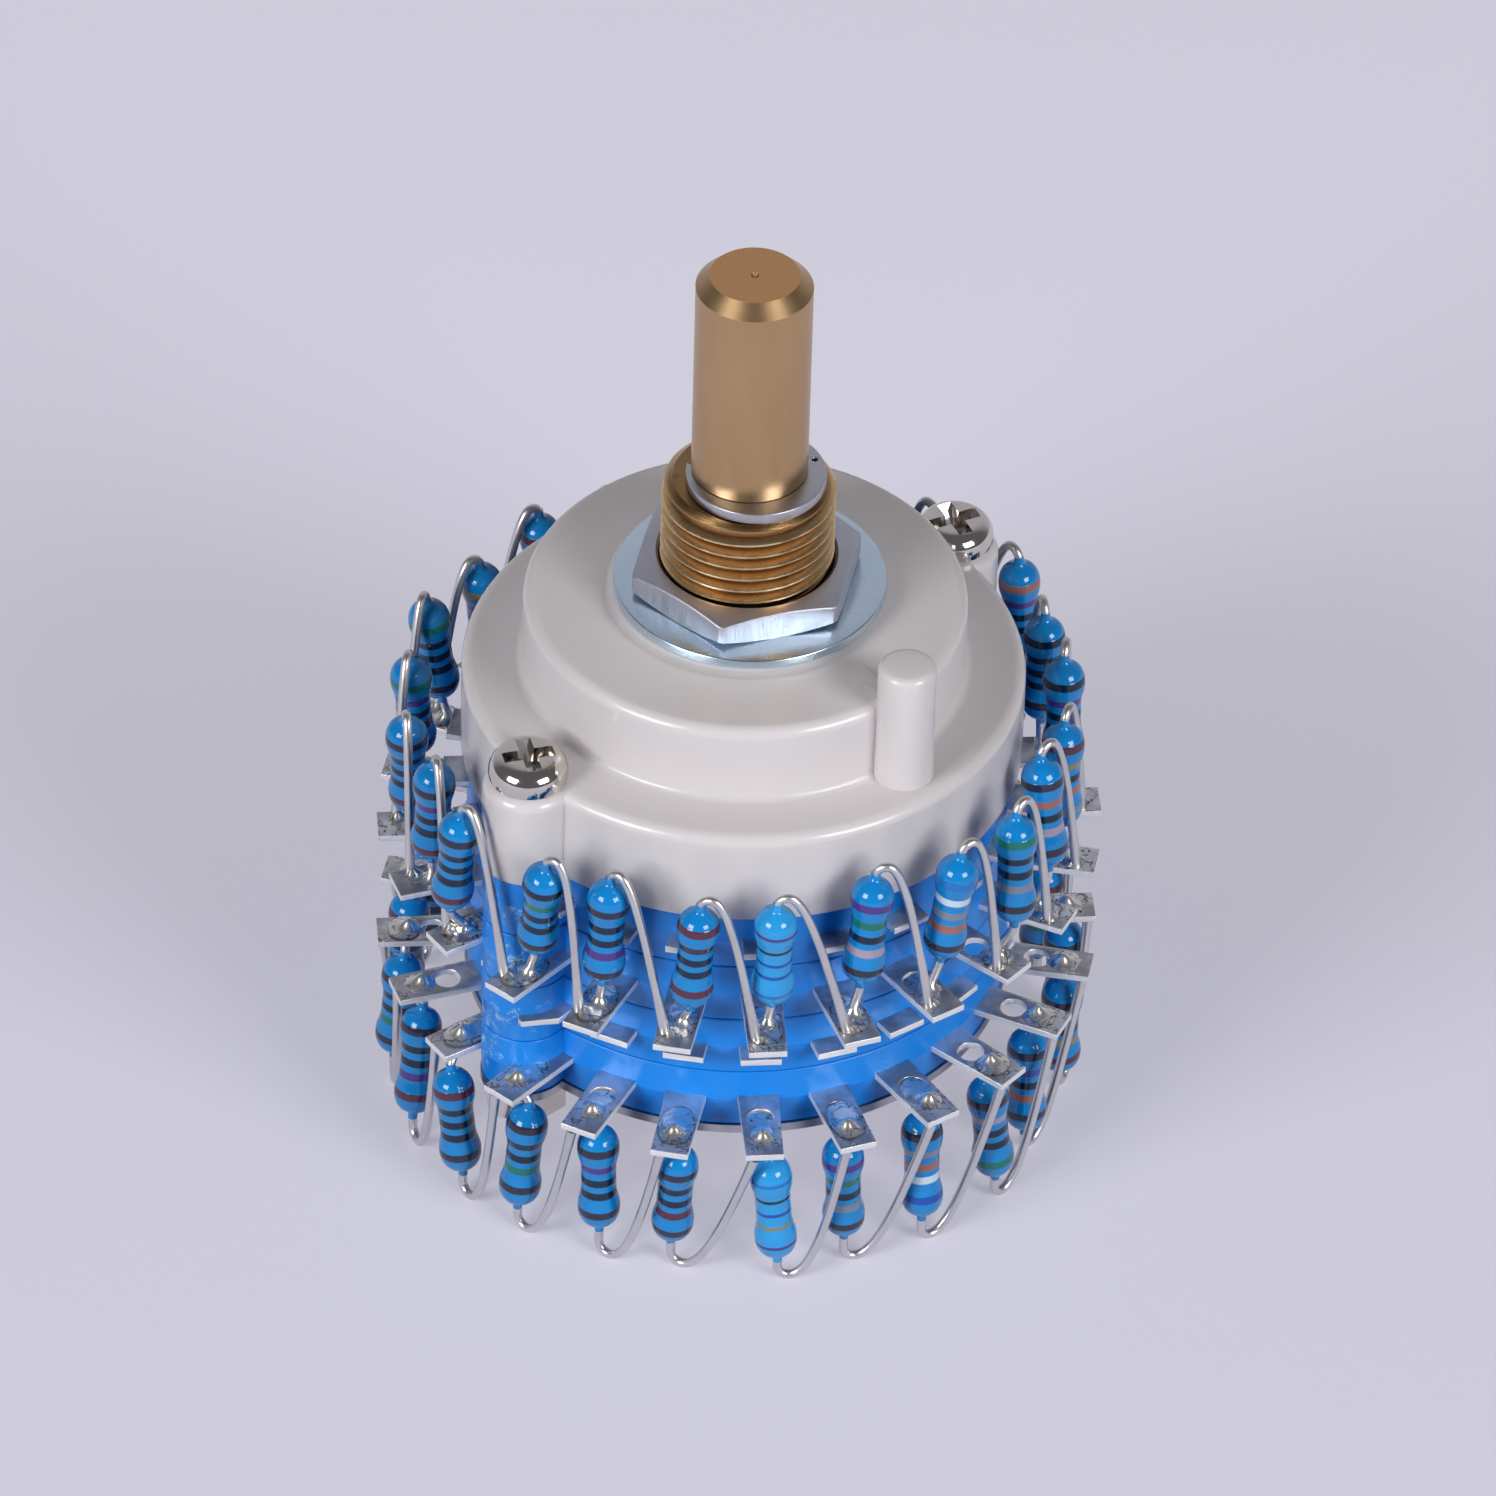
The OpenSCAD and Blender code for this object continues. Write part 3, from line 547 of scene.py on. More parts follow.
def smoothedCopy(name, nodeName, slotName, body, reshape=None, sharpAngle=28, isSoft=None):
    # A copy of a CAD piece, welded and shaded smooth. isSoft picks sharp edges to soften
    mesh = frame["nodes"][nodeName].data.copy()
    if "custom_normal" in mesh.attributes:
        # The normals read with the frame hide the sharp edges
        mesh.attributes.remove(mesh.attributes["custom_normal"])
    welded = bmesh.new()
    welded.from_mesh(mesh)
    bmesh.ops.remove_doubles(welded, verts=welded.verts, dist=cadWeld * mm)
    welded.to_mesh(mesh)
    welded.free()
    if reshape:
        for vertex in mesh.vertices:
            vertex.co = reshape(vertex.co / mm) * mm
    obj = linkObject(name, mesh)
    shadeByAngle(mesh, sharpAngle)
    if isSoft:
        for edge in mesh.edges:
            a, b = (mesh.vertices[i].co for i in edge.vertices)
            if isSoft((a + b) / 2 / mm):
                edge.use_edge_sharp = False
    even = obj.modifiers.new("even", "WEIGHTED_NORMAL")
    even.keep_sharp = True
    bakeModifiers(obj)
    obj.data.materials.clear()
    return finishPiece(obj, slotName, body, nodeName)


# The low seat under the washer runs softly into the cover's top
seat = {"above": -0.6, "outside": 7.0}
# The lathe's centre mark is finer than the CAD's
centreMark = {"top": 20.0, "depth": 1.0, "within": 0.7, "shrink": 0.45}


def onSeat(point):
    return point.z > seat["above"] and math.hypot(point.x, point.y) > seat["outside"]


def finerCentre(point):
    x, y, z = point
    m = centreMark
    if z < m["top"] - m["depth"] or math.hypot(x, y) > m["within"]:
        return point
    return Vector((x * m["shrink"], y * m["shrink"], m["top"] + (z - m["top"]) * m["shrink"]))


smoothedCopy("frontCover", "housing", "housing", "frame", sharpAngle=60, isSoft=onSeat)
smoothedCopy("turnedShaft", "shaft", "shaft", "rotor", finerCentre)
smoothedCopy("rearPlate", "rear_plate", "plate", "frame")
smoothedCopy("endNuts", "screw_nuts", "screw", "frame")
for deck in decks:
    smoothedCopy("collectorRing%d" % deck, "collector_%d" % deck, "contact", "frame")
print("CAD pieces smoothed")


# Geometry Nodes

def nodeTree(name, inputs):
    tree = bpy.data.node_groups.new(name, "GeometryNodeTree")
    tree.interface.new_socket("Geometry", in_out="OUTPUT", socket_type="NodeSocketGeometry")
    tree.interface.new_socket("Geometry", in_out="INPUT", socket_type="NodeSocketGeometry")
    for label, kind in inputs.items():
        tree.interface.new_socket(label, in_out="INPUT", socket_type="NodeSocket" + kind)
    graph = Graph(tree)
    entry = graph.add("NodeGroupInput", output=None)
    return graph, {socket.name: Reading(graph, socket) for socket in entry.outputs if socket.name}


def closeTree(graph, geometry, material):
    geometry = graph.add("GeometryNodeRealizeInstances", {}, {"Geometry": geometry})
    geometry = graph.add("GeometryNodeSetMaterial", {}, {
        "Geometry": geometry, "Material": material})
    graph.add("NodeGroupOutput", {}, {0: geometry}, None)
    return graph.tree


def runTree(tree, obj, values, sharpAngle=35):
    modifier = obj.modifiers.new(tree.name, "NODES")
    modifier.node_group = tree
    for item in tree.interface.items_tree:
        if item.in_out == "INPUT" and item.name in values:
            modifier[item.identifier] = values[item.name]
    bakeModifiers(obj)
    shadeByAngle(obj.data, sharpAngle)
    return obj


def copiesTree():
    # One copy of an object on each point, turned by the point's own attribute
    g, given = nodeTree("copiesOnPoints", {"Copy": "Object", "Finish": "Material"})
    copy = g.add("GeometryNodeObjectInfo", {}, {"Object": given["Copy"]}, "Geometry")
    turn = g.add("GeometryNodeInputNamedAttribute", {"data_type": "FLOAT_VECTOR"}, {"Name": "turn"})
    turn = g.add("FunctionNodeEulerToRotation", {}, {0: turn})
    copies = g.add("GeometryNodeInstanceOnPoints", {}, {
        "Points": given["Geometry"], "Instance": copy, "Rotation": turn})
    return closeTree(g, copies, given["Finish"])


def wiresTree():
    # A round wire along each chain of edges, as thick as the attribute at its points says
    g, given = nodeTree("wiresOnPaths", {"Radius": "Float", "Sides": "Int", "Finish": "Material"})
    path = g.add("GeometryNodeMeshToCurve", {}, {"Mesh": given["Geometry"]})
    girth = g.add("GeometryNodeInputNamedAttribute", {"data_type": "FLOAT"}, {"Name": "girth"})
    ring = g.add("GeometryNodeCurvePrimitiveCircle", {}, {
        "Resolution": given["Sides"], "Radius": given["Radius"]})
    wires = g.add("GeometryNodeCurveToMesh", {}, {
        "Curve": path, "Profile Curve": ring, "Scale": girth, "Fill Caps": True})
    return closeTree(g, wires, given["Finish"])


copiesOnPoints = copiesTree()
wiresOnPaths = wiresTree()


def setPoints(obj, label, values, kind="FLOAT", field="value"):
    # A number, a vector or a colour at each point of a mesh
    attribute = obj.data.attributes.new(label, kind, "POINT")
    attribute.data.foreach_set(field, np.asarray(values, float).ravel())


def pointCloud(name, places, turns, extras=None):
    # Loose points with a turn each, and colours or numbers that their copies will carry
    obj = meshObject(name, places, [])
    setPoints(obj, "turn", turns, "FLOAT_VECTOR", "vector")
    for label, values in (extras or {}).items():
        if len(np.shape(values)) == 2:
            setPoints(obj, label, values, "FLOAT_COLOR", "color")
        else:
            setPoints(obj, label, values)
    return obj


def wirePiece(name, chains, girths, radius, sides):
    edges, first = [], 0
    for chain in chains:
        edges += [(first + i, first + i + 1) for i in range(len(chain) - 1)]
        first += len(chain)
    obj = meshObject(name, np.vstack(chains), [], edges=edges)
    setPoints(obj, "girth", np.concatenate(girths))
    return runTree(wiresOnPaths, obj, {
        "Radius": radius * mm, "Sides": sides, "Finish": finishes["lead"]}, 60)


# Threaded bushing

thread = {
    "crest": 4.5, "root": 4.08, "pitch": 0.745, "start": 1.6, "turns": 6.95, "phase": -1.2,
    "crestFlat": 0.1, "taper": 0.06, "footShare": 0.47, "sunk": -0.3, "around": 72,
}
bushing = {
    "bore": 3.03, "boreEdge": 0.08, "top": 7.0, "chamfer": 0.28,
    "lip": 4.2, "lipEdge": 0.38, "lipFoot": 0.46, "neck": 4.48, "neckTop": 0.5, "neckSlope": 0.4,
    "flange": 6.4, "flangeTop": -2.85, "flangeFoot": -4.15, "around": 144,
}


def threadTree():
    # A tapered ridge, wound round the core on a spiral
    g, given = nodeTree("threadRidge", {
        "Root": "Float", "Turns": "Float", "Rise": "Float", "Foot": "Float", "Base": "Float",
        "Depth": "Float", "Crest": "Float", "Taper": "Float", "Phase": "Float",
        "Finish": "Material"})
    spiral = g.add("GeometryNodeCurveSpiral", {}, {
        "Resolution": thread["around"], "Rotations": given["Turns"], "Start Radius": given["Root"],
        "End Radius": given["Root"], "Height": given["Rise"], "Reverse": True})
    spiral = g.add("GeometryNodeSetCurveNormal", {"mode": "Z_UP"}, {"Curve": spiral})
    along = g.add("GeometryNodeSplineParameter", {}, {}, "Factor")
    swell = (along / given["Taper"]).math("MINIMUM", 1.0)
    swell = swell.math("MINIMUM", ((1 - along) / given["Taper"]).math("MINIMUM", 1.0))
    sunk = given["Depth"] * thread["sunk"]   # the ridge's foot lies inside the core
    outline = g.add("GeometryNodeCurvePrimitiveQuadrilateral", {"mode": "POINTS"}, {
        "Point 1": g.join(sunk, given["Base"], 0),
        "Point 2": g.join(sunk, given["Base"] * -1, 0),
        "Point 3": g.join(given["Depth"], given["Crest"] * -1, 0),
        "Point 4": g.join(given["Depth"], given["Crest"], 0)})
    ridge = g.add("GeometryNodeCurveToMesh", {}, {
        "Curve": spiral, "Profile Curve": outline, "Scale": swell, "Fill Caps": True})
    ridge = g.add("GeometryNodeTransform", {}, {
        "Geometry": ridge, "Translation": g.join(0, 0, given["Foot"]),
        "Rotation": g.join(0, 0, given["Phase"])})
    joined = g.add("GeometryNodeJoinGeometry", output=None)
    g.tree.links.new(ridge.link, joined.inputs[0])
    g.tree.links.new(given["Geometry"].link, joined.inputs[0])
    return closeTree(g, Reading(g, joined.outputs[0]), given["Finish"])


def bushingCore():
    # From the flange up the outside, and down the bore
    b, root = bushing, thread["root"]
    return turnedObject("threadedBushing", [
        (b["flange"], b["flangeFoot"]), (b["flange"], b["flangeTop"]), (b["neck"], b["flangeTop"]),
        (b["neck"], b["neckTop"]), (root, b["neckTop"] + b["neckSlope"]),
        (root, b["top"] - b["lipFoot"]), (b["lip"], b["top"] - b["lipEdge"]),
        (b["lip"], b["top"] - b["chamfer"]),
        (b["lip"] - b["chamfer"], b["top"]), (b["bore"] + b["boreEdge"], b["top"]),
        (b["bore"], b["top"] - b["boreEdge"]), (b["bore"], b["flangeFoot"]),
    ], b["around"], 25)


threadedBushing = runTree(threadTree(), bushingCore(), {
    "Root": thread["root"] * mm, "Turns": thread["turns"],
    "Rise": thread["turns"] * thread["pitch"] * mm, "Foot": thread["start"] * mm,
    "Base": thread["pitch"] * thread["footShare"] * mm,
    "Depth": (thread["crest"] - thread["root"]) * mm,
    "Crest": thread["crestFlat"] / 2 * mm, "Taper": thread["taper"], "Phase": thread["phase"],
    "Finish": finishes["bushing"]}, 25)
finishPiece(threadedBushing, "bushing", "frame", "bushing")
print("bushing threaded")


# Nut and washer

nut = {
    "acrossFlats": 10.8, "foot": 0.55, "thickness": 1.6, "bore": 4.55, "turn": -101, "around": 144,
    "chamferSlope": 0.36, "chamferFrom": 5.32, "cornerCut": 0.06, "edge": 0.05, "countersink": 0.16,
}
washer = {"outer": 7.05, "bore": 4.75, "shift": 0.2, "thickness": 0.55, "edge": 0.09}


def hexNut():
    n = nut
    angles = evenAngles(n["around"])
    fromFlat = (angles - math.radians(n["turn"]) - math.pi / 6) % (math.pi / 3)
    fromFlat = np.minimum(fromFlat, math.pi / 3 - fromFlat)
    hexagon = n["acrossFlats"] / 2 / np.cos(fromFlat)
    hexagon = np.minimum(hexagon, n["acrossFlats"] / 2 / math.cos(math.pi / 6) - n["cornerCut"])
    top, foot = n["foot"] + n["thickness"], n["foot"]
    drop = (hexagon - n["chamferFrom"]) * n["chamferSlope"]
    ease, sunk = n["edge"] * 0.5, n["countersink"]
    # Up the outside from the lower chamfer to the upper one, and down the bore
    rings = [
        (n["chamferFrom"], foot), (hexagon - n["edge"], foot + np.maximum(drop - ease, 0)),
        (hexagon, foot + drop + ease), (hexagon, (top + foot) / 2), (hexagon, top - drop - ease),
        (hexagon - n["edge"], top - np.maximum(drop - ease, 0)), (n["chamferFrom"], top),
        (n["bore"] + sunk, top), (n["bore"], top - sunk),
        (n["bore"], foot + sunk), (n["bore"] + sunk, foot)]
    return ringsObject("hexNut", rings, angles, 22)


finishPiece(hexNut(), "nut", "frame", "mounting_nut")


def circleOutline(radius, count=96, x=0.0, y=0.0):
    angles = evenAngles(count)
    return [(x + radius * math.cos(a), y + radius * math.sin(a)) for a in angles]


finishPiece(stampedObject(
    "flatWasher", [circleOutline(washer["outer"], 128, washer["shift"]),
                   circleOutline(washer["bore"], 96, washer["shift"])],
    washer["thickness"], washer["edge"], 0), "washer", "frame", "mounting_washer")
print("nut and washer made")


# Retaining clip

clip = {
    "outer": 3.6, "bore": 2.53, "shift": 0.5, "turn": -45, "mouth": 4.2, "thickness": 0.6,
    "foot": 7.05, "edge": 0.05, "pinHole": 0.16, "pinAt": 3.42, "pinTurn": 13.0,
    "rimPoints": 72, "borePoints": 60,
}


def clipOutline():
    # Out along the rim from one end of the mouth to the other, and back along the bore
    c = clip
    half = c["mouth"] / 2
    rimEnd = math.pi - math.asin(half / c["outer"])
    boreEnd = math.pi - math.asin(half / c["bore"])
    rim = [(c["shift"] + c["outer"] * math.cos(a), c["outer"] * math.sin(a))
           for a in np.linspace(-rimEnd, rimEnd, c["rimPoints"])]
    bore = [(c["bore"] * math.cos(a), c["bore"] * math.sin(a))
            for a in np.linspace(boreEnd, -boreEnd, c["borePoints"])]
    return [tuple(rotated((x, y, 0), c["turn"])[:2]) for x, y in rim + bore]


pinSpot = rotated((clip["pinAt"], 0, 0), clip["pinTurn"])
finishPiece(stampedObject(
    "retainingRing", [clipOutline(), circleOutline(clip["pinHole"], 16, pinSpot[0], pinSpot[1])],
    clip["thickness"], clip["edge"], clip["foot"]), "steel", "rotor", "retaining_clip")
print("retaining clip made")


# Wafers

wafer = {
    "draft": 0.1, "earDraft": 0.07, "edge": 0.05, "joint": 0.08, "ridge": 0.01, "ridgeHalf": 0.03,
    "faceInset": 2.5, "earFaceInset": 1.2,
    "discSteps": 240, "earSteps": 121, "earSpan": 13, "earClear": 13.2,
}


def stackOutline(angles, inset, earInset):
    # Distance of the wafers' outline from the axis: a disc, or the far side of an ear
    s = stack
    disc = np.full_like(angles, s["waferRadius"] - inset)
    ear = s["earRadius"] - earInset
    for turn in earTurns:
        off = (angles - math.radians(turn) + math.pi) % (2 * math.pi) - math.pi
        side = s["screwAt"] * np.sin(off)
        reach = s["screwAt"] * np.cos(off) + np.sqrt(np.maximum(ear ** 2 - side ** 2, 0))
        disc = np.where((abs(side) < ear) & (np.cos(off) > 0), np.maximum(disc, reach), disc)
    return disc


def waferAngles():
    # Close together over the ears, and wider apart round the rest of the disc
    w = wafer
    fine = [np.linspace(t - w["earSpan"], t + w["earSpan"], w["earSteps"]) % 360 for t in earTurns]
    coarse = np.linspace(0, 360, w["discSteps"], endpoint=False)
    fromEar = np.min([abs((coarse - t + 180) % 360 - 180) for t in earTurns], axis=0)
    return np.radians(np.sort(np.concatenate(fine + [coarse[fromEar > w["earClear"]]])))


def waferShell(deck):
    w = wafer
    top = deckTop(deck) - w["joint"] / 2
    foot = top - stack["waferThickness"] + w["joint"]
    middle = (top + foot) / 2
    # Insets of the disc and of its ears, up the drafted wall and over the parting ridge
    face, ridge = (w["faceInset"], w["earFaceInset"]), (w["ridge"], w["ridge"])
    wall, corner = (w["draft"], w["earDraft"]), (w["draft"] + w["edge"], w["earDraft"] + w["edge"])
    levels = [
        (face, foot), (corner, foot), (wall, foot + w["edge"]),
        (ridge, middle - w["ridgeHalf"]), ((0, 0), middle), (ridge, middle + w["ridgeHalf"]),
        (wall, top - w["edge"]), (corner, top), (face, top)]
    angles = waferAngles()
    rings = [(stackOutline(angles, *insets), height) for insets, height in levels]
    return ringsObject("wafer%d" % deck, rings, angles, 28)


for deck in decks:
    finishPiece(waferShell(deck), "wafer", "frame", "wafer_%d" % deck)
print("wafers made")


# Solder lugs

lug = {
    "rim": 2.12, "tip": 1.96, "reach": 19.0, "stub": 15.5, "from": 11.5, "edge": 0.05,
    "eyelet": 0.7, "eyeletAt": 16.1, "fullDecks": (2, 4), "roll": 0.5, "pitch": 0.3, "seed": 40,
    # One stub was trimmed askew
    "slantDeck": 3, "slantLug": 15,
    "slantEdge": [(16.4, -0.95), (16.9, -0.5), (16.98, -0.22), (16.03, 0.56)],
}


def lugOutline(reach, tipWidth, edge=()):
    # Edge is the cut of the stub that was trimmed askew, in place of a straight one
    half, tip = lug["rim"] / 2, tipWidth / 2
    return ([(lug["from"], -half), (stack["waferRadius"], -half)] + list(edge or [(reach, -tip)])
            + [(reach, tip), (stack["waferRadius"], half), (lug["from"], half)])


def lugRing(deck):
    n = lug
    if deck in n["fullDecks"]:
        outlines = [lugOutline(n["reach"], n["tip"]), circleOutline(n["eyelet"], 24, n["eyeletAt"])]
    else:
        outlines = [lugOutline(n["stub"], n["rim"])]
    slanted = [n["slantLug"]] if deck == n["slantDeck"] else []
    kinds = [("lugRing%d" % deck, outlines, [k for k in range(stack["steps"]) if k not in slanted])]
    if slanted:
        kinds.append(("slantedStub", [lugOutline(n["stub"], n["rim"], n["slantEdge"])], slanted))
    foot = deckTop(deck) - stack["floorDrop"]
    rng = random.Random(n["seed"] + deck)
    rings = []
    for name, shape, places in kinds:
        pattern = stampedObject(name + "Pattern", shape, stack["lugThickness"], n["edge"], 0)
        turns = []
        for k in places:
            roll, pitch = rng.uniform(-n["roll"], n["roll"]), rng.uniform(-n["pitch"], n["pitch"])
            turns.append([math.radians(a) for a in (roll, pitch, lugTurn(k))])
        points = pointCloud(name, [(0, 0, foot)] * len(places), turns)
        rings.append(runTree(copiesOnPoints, points, {"Copy": pattern, "Finish": finishes["lug"]}))
        bpy.data.objects.remove(pattern)
    return rings


for deck in decks:
    straight, *slanted = lugRing(deck)
    finishPiece(straight, "lug", "frame", "lugs_%d" % deck)
    for stub in slanted:
        finishPiece(stub, "lug", "frame")
print("lugs made")


# Screws

screw = {
    "head": 2.075, "height": 1.5, "foot": -4.95, "thread": 0.98, "end": -27.5, "endChamfer": 0.25,
    "gap": 0.02, "rimInset": 0.16, "rimEdge": (0.03, 0.14), "flat": 1.1, "skirt": 0.42,
    "dome": 0.85, "domeSteps": 15, "around": 64, "turns": (6, -4),
}
recess = {
    "wing": 0.4, "wingTaper": 0.7, "reach": 1.42, "reachTaper": 0.45, "depth": 1.15, "over": 0.1,
    "turn": 20.0,
}


def crossCutter():
    # A cross that narrows downwards, as the driver's tip does
    r = recess
    top = screw["foot"] + screw["height"] + r["over"]
    levels = [(top - r["depth"], r["wing"] * r["wingTaper"], r["reach"] * r["reachTaper"]),
              (top, r["wing"], r["reach"])]
    points = []
    for height, wing, reach in levels:
        for quarter in range(4):
            for x, y in ((wing, wing), (wing, reach), (-wing, reach)):
                points.append(rotated((x, y, height), r["turn"] + 90 * quarter))
    count = len(points) // 2
    faces = ringFaces(2, count, False)
    faces += [tuple(reversed(range(count))), tuple(range(count, 2 * count))]
    return meshObject("crossCutter", points, faces)


def screwPattern():
    # From the thread's end up to the head, and over its dome
    s = screw
    edge, rise = s["rimEdge"]
    profile = [
        (s["thread"] - s["endChamfer"], s["end"]), (s["thread"], s["end"] + s["endChamfer"]),
        (s["thread"], s["foot"] + s["gap"]), (s["head"] - s["rimInset"], s["foot"] + s["gap"]),
        (s["head"] - edge, s["foot"] + rise)]
    for t in np.radians(np.linspace(0, 90, s["domeSteps"])):
        profile.append((s["flat"] + (s["head"] - s["flat"]) * math.cos(t) ** s["dome"],
                        s["foot"] + s["skirt"] + (s["height"] - s["skirt"]) * math.sin(t)))
    pattern = turnedObject("screwPattern", profile, s["around"], loop=False)
    cutter = crossCutter()
    cut = pattern.modifiers.new("recess", "BOOLEAN")
    cut.operation, cut.solver, cut.object = "DIFFERENCE", "EXACT", cutter
    bakeModifiers(pattern)
    bpy.data.objects.remove(cutter)
    return pattern


pattern = screwPattern()
places = [rotated((stack["screwAt"], 0, 0), turn) for turn in earTurns]
panScrews = pointCloud("panScrews", places, [(0, 0, math.radians(t)) for t in screw["turns"]])
runTree(copiesOnPoints, panScrews, {"Copy": pattern, "Finish": finishes["screw"]}, 32)
bpy.data.objects.remove(pattern)
finishPiece(panScrews, "screw", "frame", "through_screws")
print("screws made")


# Resistors

resistor = {
    "length": 6.1, "upperFoot": 16.9, "upperZ": -13.95, "lowerFoot": 17.5, "lowerZ": -24.35,
    "ringWidth": 0.074, "thinWidth": 0.034, "slip": 0.02, "spin": 6, "seed": 7, "around": 28,
    # Radius and distance from the body's end, from the coat's neck on the lead to the middle
    "half": [
        (0.24, -0.55), (0.26, -0.33), (0.31, -0.12), (0.42, -0.02), (0.62, 0.07), (0.8, 0.2),
        (0.94, 0.38), (1.04, 0.6), (1.1, 0.85), (1.12, 1.1), (1.115, 1.35), (1.08, 1.6),
        (1.02, 1.82), (0.965, 2.05), (0.935, 2.3), (0.93, 2.6)],
}
# Place of each near end, outwards, towards the next lug and upwards, and the lean of the far end
upperSet = [
    [0.1, 0.7, 0.8, -0.1, 0.5], [0.1, 0.5, 0.4, 0.1, 0.3], [1.3, 0.3, 0.8, -0.2, 0.2],
    [0.3, 0.9, 0.8, 0.3, 0.6], [0.1, 0.5, 0.3, 0.2, 0.2], [0, 0, 0, 0, 0],
    [0.2, 0.4, 0.2, 0.1, 0.3], [0.3, 0.5, 0.4, 0, 0.4], [0.7, 0.6, 0.4, 0.3, 0.2],
    [0.2, 0.5, 0.2, 0.1, 0.7], [0.4, 0.4, 0.4, 0.7, 0.4], [0.3, 0.4, 0.2, 0.3, 0.4],
    [0.4, 0.5, 0.2, 0.3, 0.6], [0.2, 0.3, 0.4, 0, 0.4], [1.3, 0.1, 0.8, -0.2, 0.6],
    [0.3, 0.9, 0.8, 0.5, 1], [0.1, 0.3, 0.4, -0.2, 0.2], [0.4, 0.6, 0.2, 0, 0.4],
    [-0.1, 0.3, 0.2, 0.3, 0.1], [0, 0.6, 0.8, -0.4, 0.7], [0.2, 0.8, 0.8, 0.2, 0.8],
    [1, 0.8, 1, -0.5, 0.4], [0.4, 0.8, 1.2, -0.9, 0.5], [0, 0.5, 0.4, -0.1, 0.3]]
lowerSet = [
    [0, 0.3, 0, 0.2, 0.2], [0.1, 0.3, 0.2, 0, 0.3], [0.8, 0.6, 0, 0, 0.4],
    [0, 0.8, 0.2, 0.3, 0], [0, 0.3, 0.1, 0.2, 0.2], [0, 0, 0, 0, 0],
    [0.1, 0.2, 0, 0.2, 0.1], [0, 0.4, 0.2, 0, 0.3], [0.1, 0.4, 0, 0.1, 0.3],
    [0, 0.3, 0.2, 0, 0.2], [0.1, 0.4, 0, 0.3, 0.1], [0, 0.3, 0.1, 0.4, 0.1],
    [0.1, 0.6, 0, 0.5, 0.1], [0, 0.2, 0, 0.8, 0.9], [0.9, 0.6, 0, -0.2, 0.8],
    [0, 0.8, 0.1, 0.5, -0.2], [-0.3, 0.3, 0.4, 0.3, 0.3], [-0.2, 0.2, 0.3, -0.2, -0.3],
    [-0.1, 0.4, 0, 0.5, 0.5], [-0.3, -0.2, 0.4, 0.1, 0.2], [-0.4, 0, 0.3, 0.6, -0.2],
    [-0.3, 0, 0.2, 0.6, 0.3], [-0.6, 0.3, 0, 0.2, -0.4], [0, 0.3, 0, 0, 0.3]]
# Every lug but the open step has its resistor
ladder = [k for k in range(stack["steps"]) if k != stack["openStep"]]


def unit(v):
    return v / np.linalg.norm(v)


def bodyEnds(k, rows, foot, z, side):
    # Near end of a body, the way it runs, and its far end
    near = atLug(k, foot + rows[k][0], rows[k][1], z + rows[k][2])
    way = unit(atLug(k, rows[k][3], rows[k][4], side * resistor["length"]))
    return near, way, near + resistor["length"] * way


# Slips move the painted rings along a body, as shares of its length, where the photo shows it
rings = {
    "upper": {"rows": upperSet, "foot": resistor["upperFoot"], "z": resistor["upperZ"], "side": 1,
              "slips": {0: -0.01, 10: 0.02, 11: 0.01, 12: 0, 13: 0.02, 14: 0.01, 15: 0.01, 16: 0.05,
                        17: -0.035, 18: 0.02, 19: 0.035, 20: 0.02, 21: 0, 22: 0.01, 23: -0.03}},
    "lower": {"rows": lowerSet, "foot": resistor["lowerFoot"], "z": resistor["lowerZ"], "side": -1,
              "slips": {13: -0.02, 14: -0.01, 15: -0.04, 16: 0, 17: 0.03, 18: 0.02, 19: 0.02,
                        20: -0.04, 21: -0.01, 22: -0.01, 23: -0.01}},
}

# Painted rings of each resistor from its upper end down, one letter for each colour
ringTones = {
    "k": tone(6, 12, 28), "n": tone(44, 28, 38), "r": tone(88, 28, 40), "o": tone(160, 100, 84),
    "y": tone(140, 132, 84), "g": tone(14, 114, 92), "b": tone(24, 70, 170), "v": tone(76, 44, 130),
    "s": tone(122, 134, 152), "w": tone(206, 226, 240), "p": tone(166, 152, 172),
    "c": tone(30, 112, 190),
}
upperRings = [
    "kvkkr", "kkkkn", "ovkkn", "ygkkn", "rvkkn", "", "gkkkn", "ngkkn",
    "rkkkn", "yvkkn", "gkkkn", "gvkkn", "nkkkr", "nvkkr", "nkkkr", "kgkkn",
    "nkkvn", "rnkkr", "vkbbc", "vgkpn", "cwson", "gkksn", "nokpn", "rykos"]
lowerRings = [
    "nkkrn", "rkkgn", "gkkbn", "nkkgn", "yvkkn", "", "nkkbn", "rkkvn",
    "nkkrn", "gkkkn", "nvkkn", "rkkkn", "nkkgn", "nkkvr", "rkkkn", "nkkgn",
    "nvkkn", "nkkrn", "ckbyv", "vgksn", "nsowb", "npkkg", "nbkon", "nkkyr"]
thinRings = {18}   # the paler body with narrow rings
enamelTones = {"plain": tone(10, 132, 206), "pale": tone(40, 156, 226)}


def bodyPattern():
    # One body from its upper end down, with its share of the length kept at each point
    r = resistor
    profile = r["half"] + [(radius, r["length"] - z) for radius, z in reversed(r["half"])]
    obj = turnedObject("bodyPattern", profile, r["around"], 60, loop=False)
    setPoints(obj, "share", [v.co.z / mm / r["length"] for v in obj.data.vertices])
    return obj


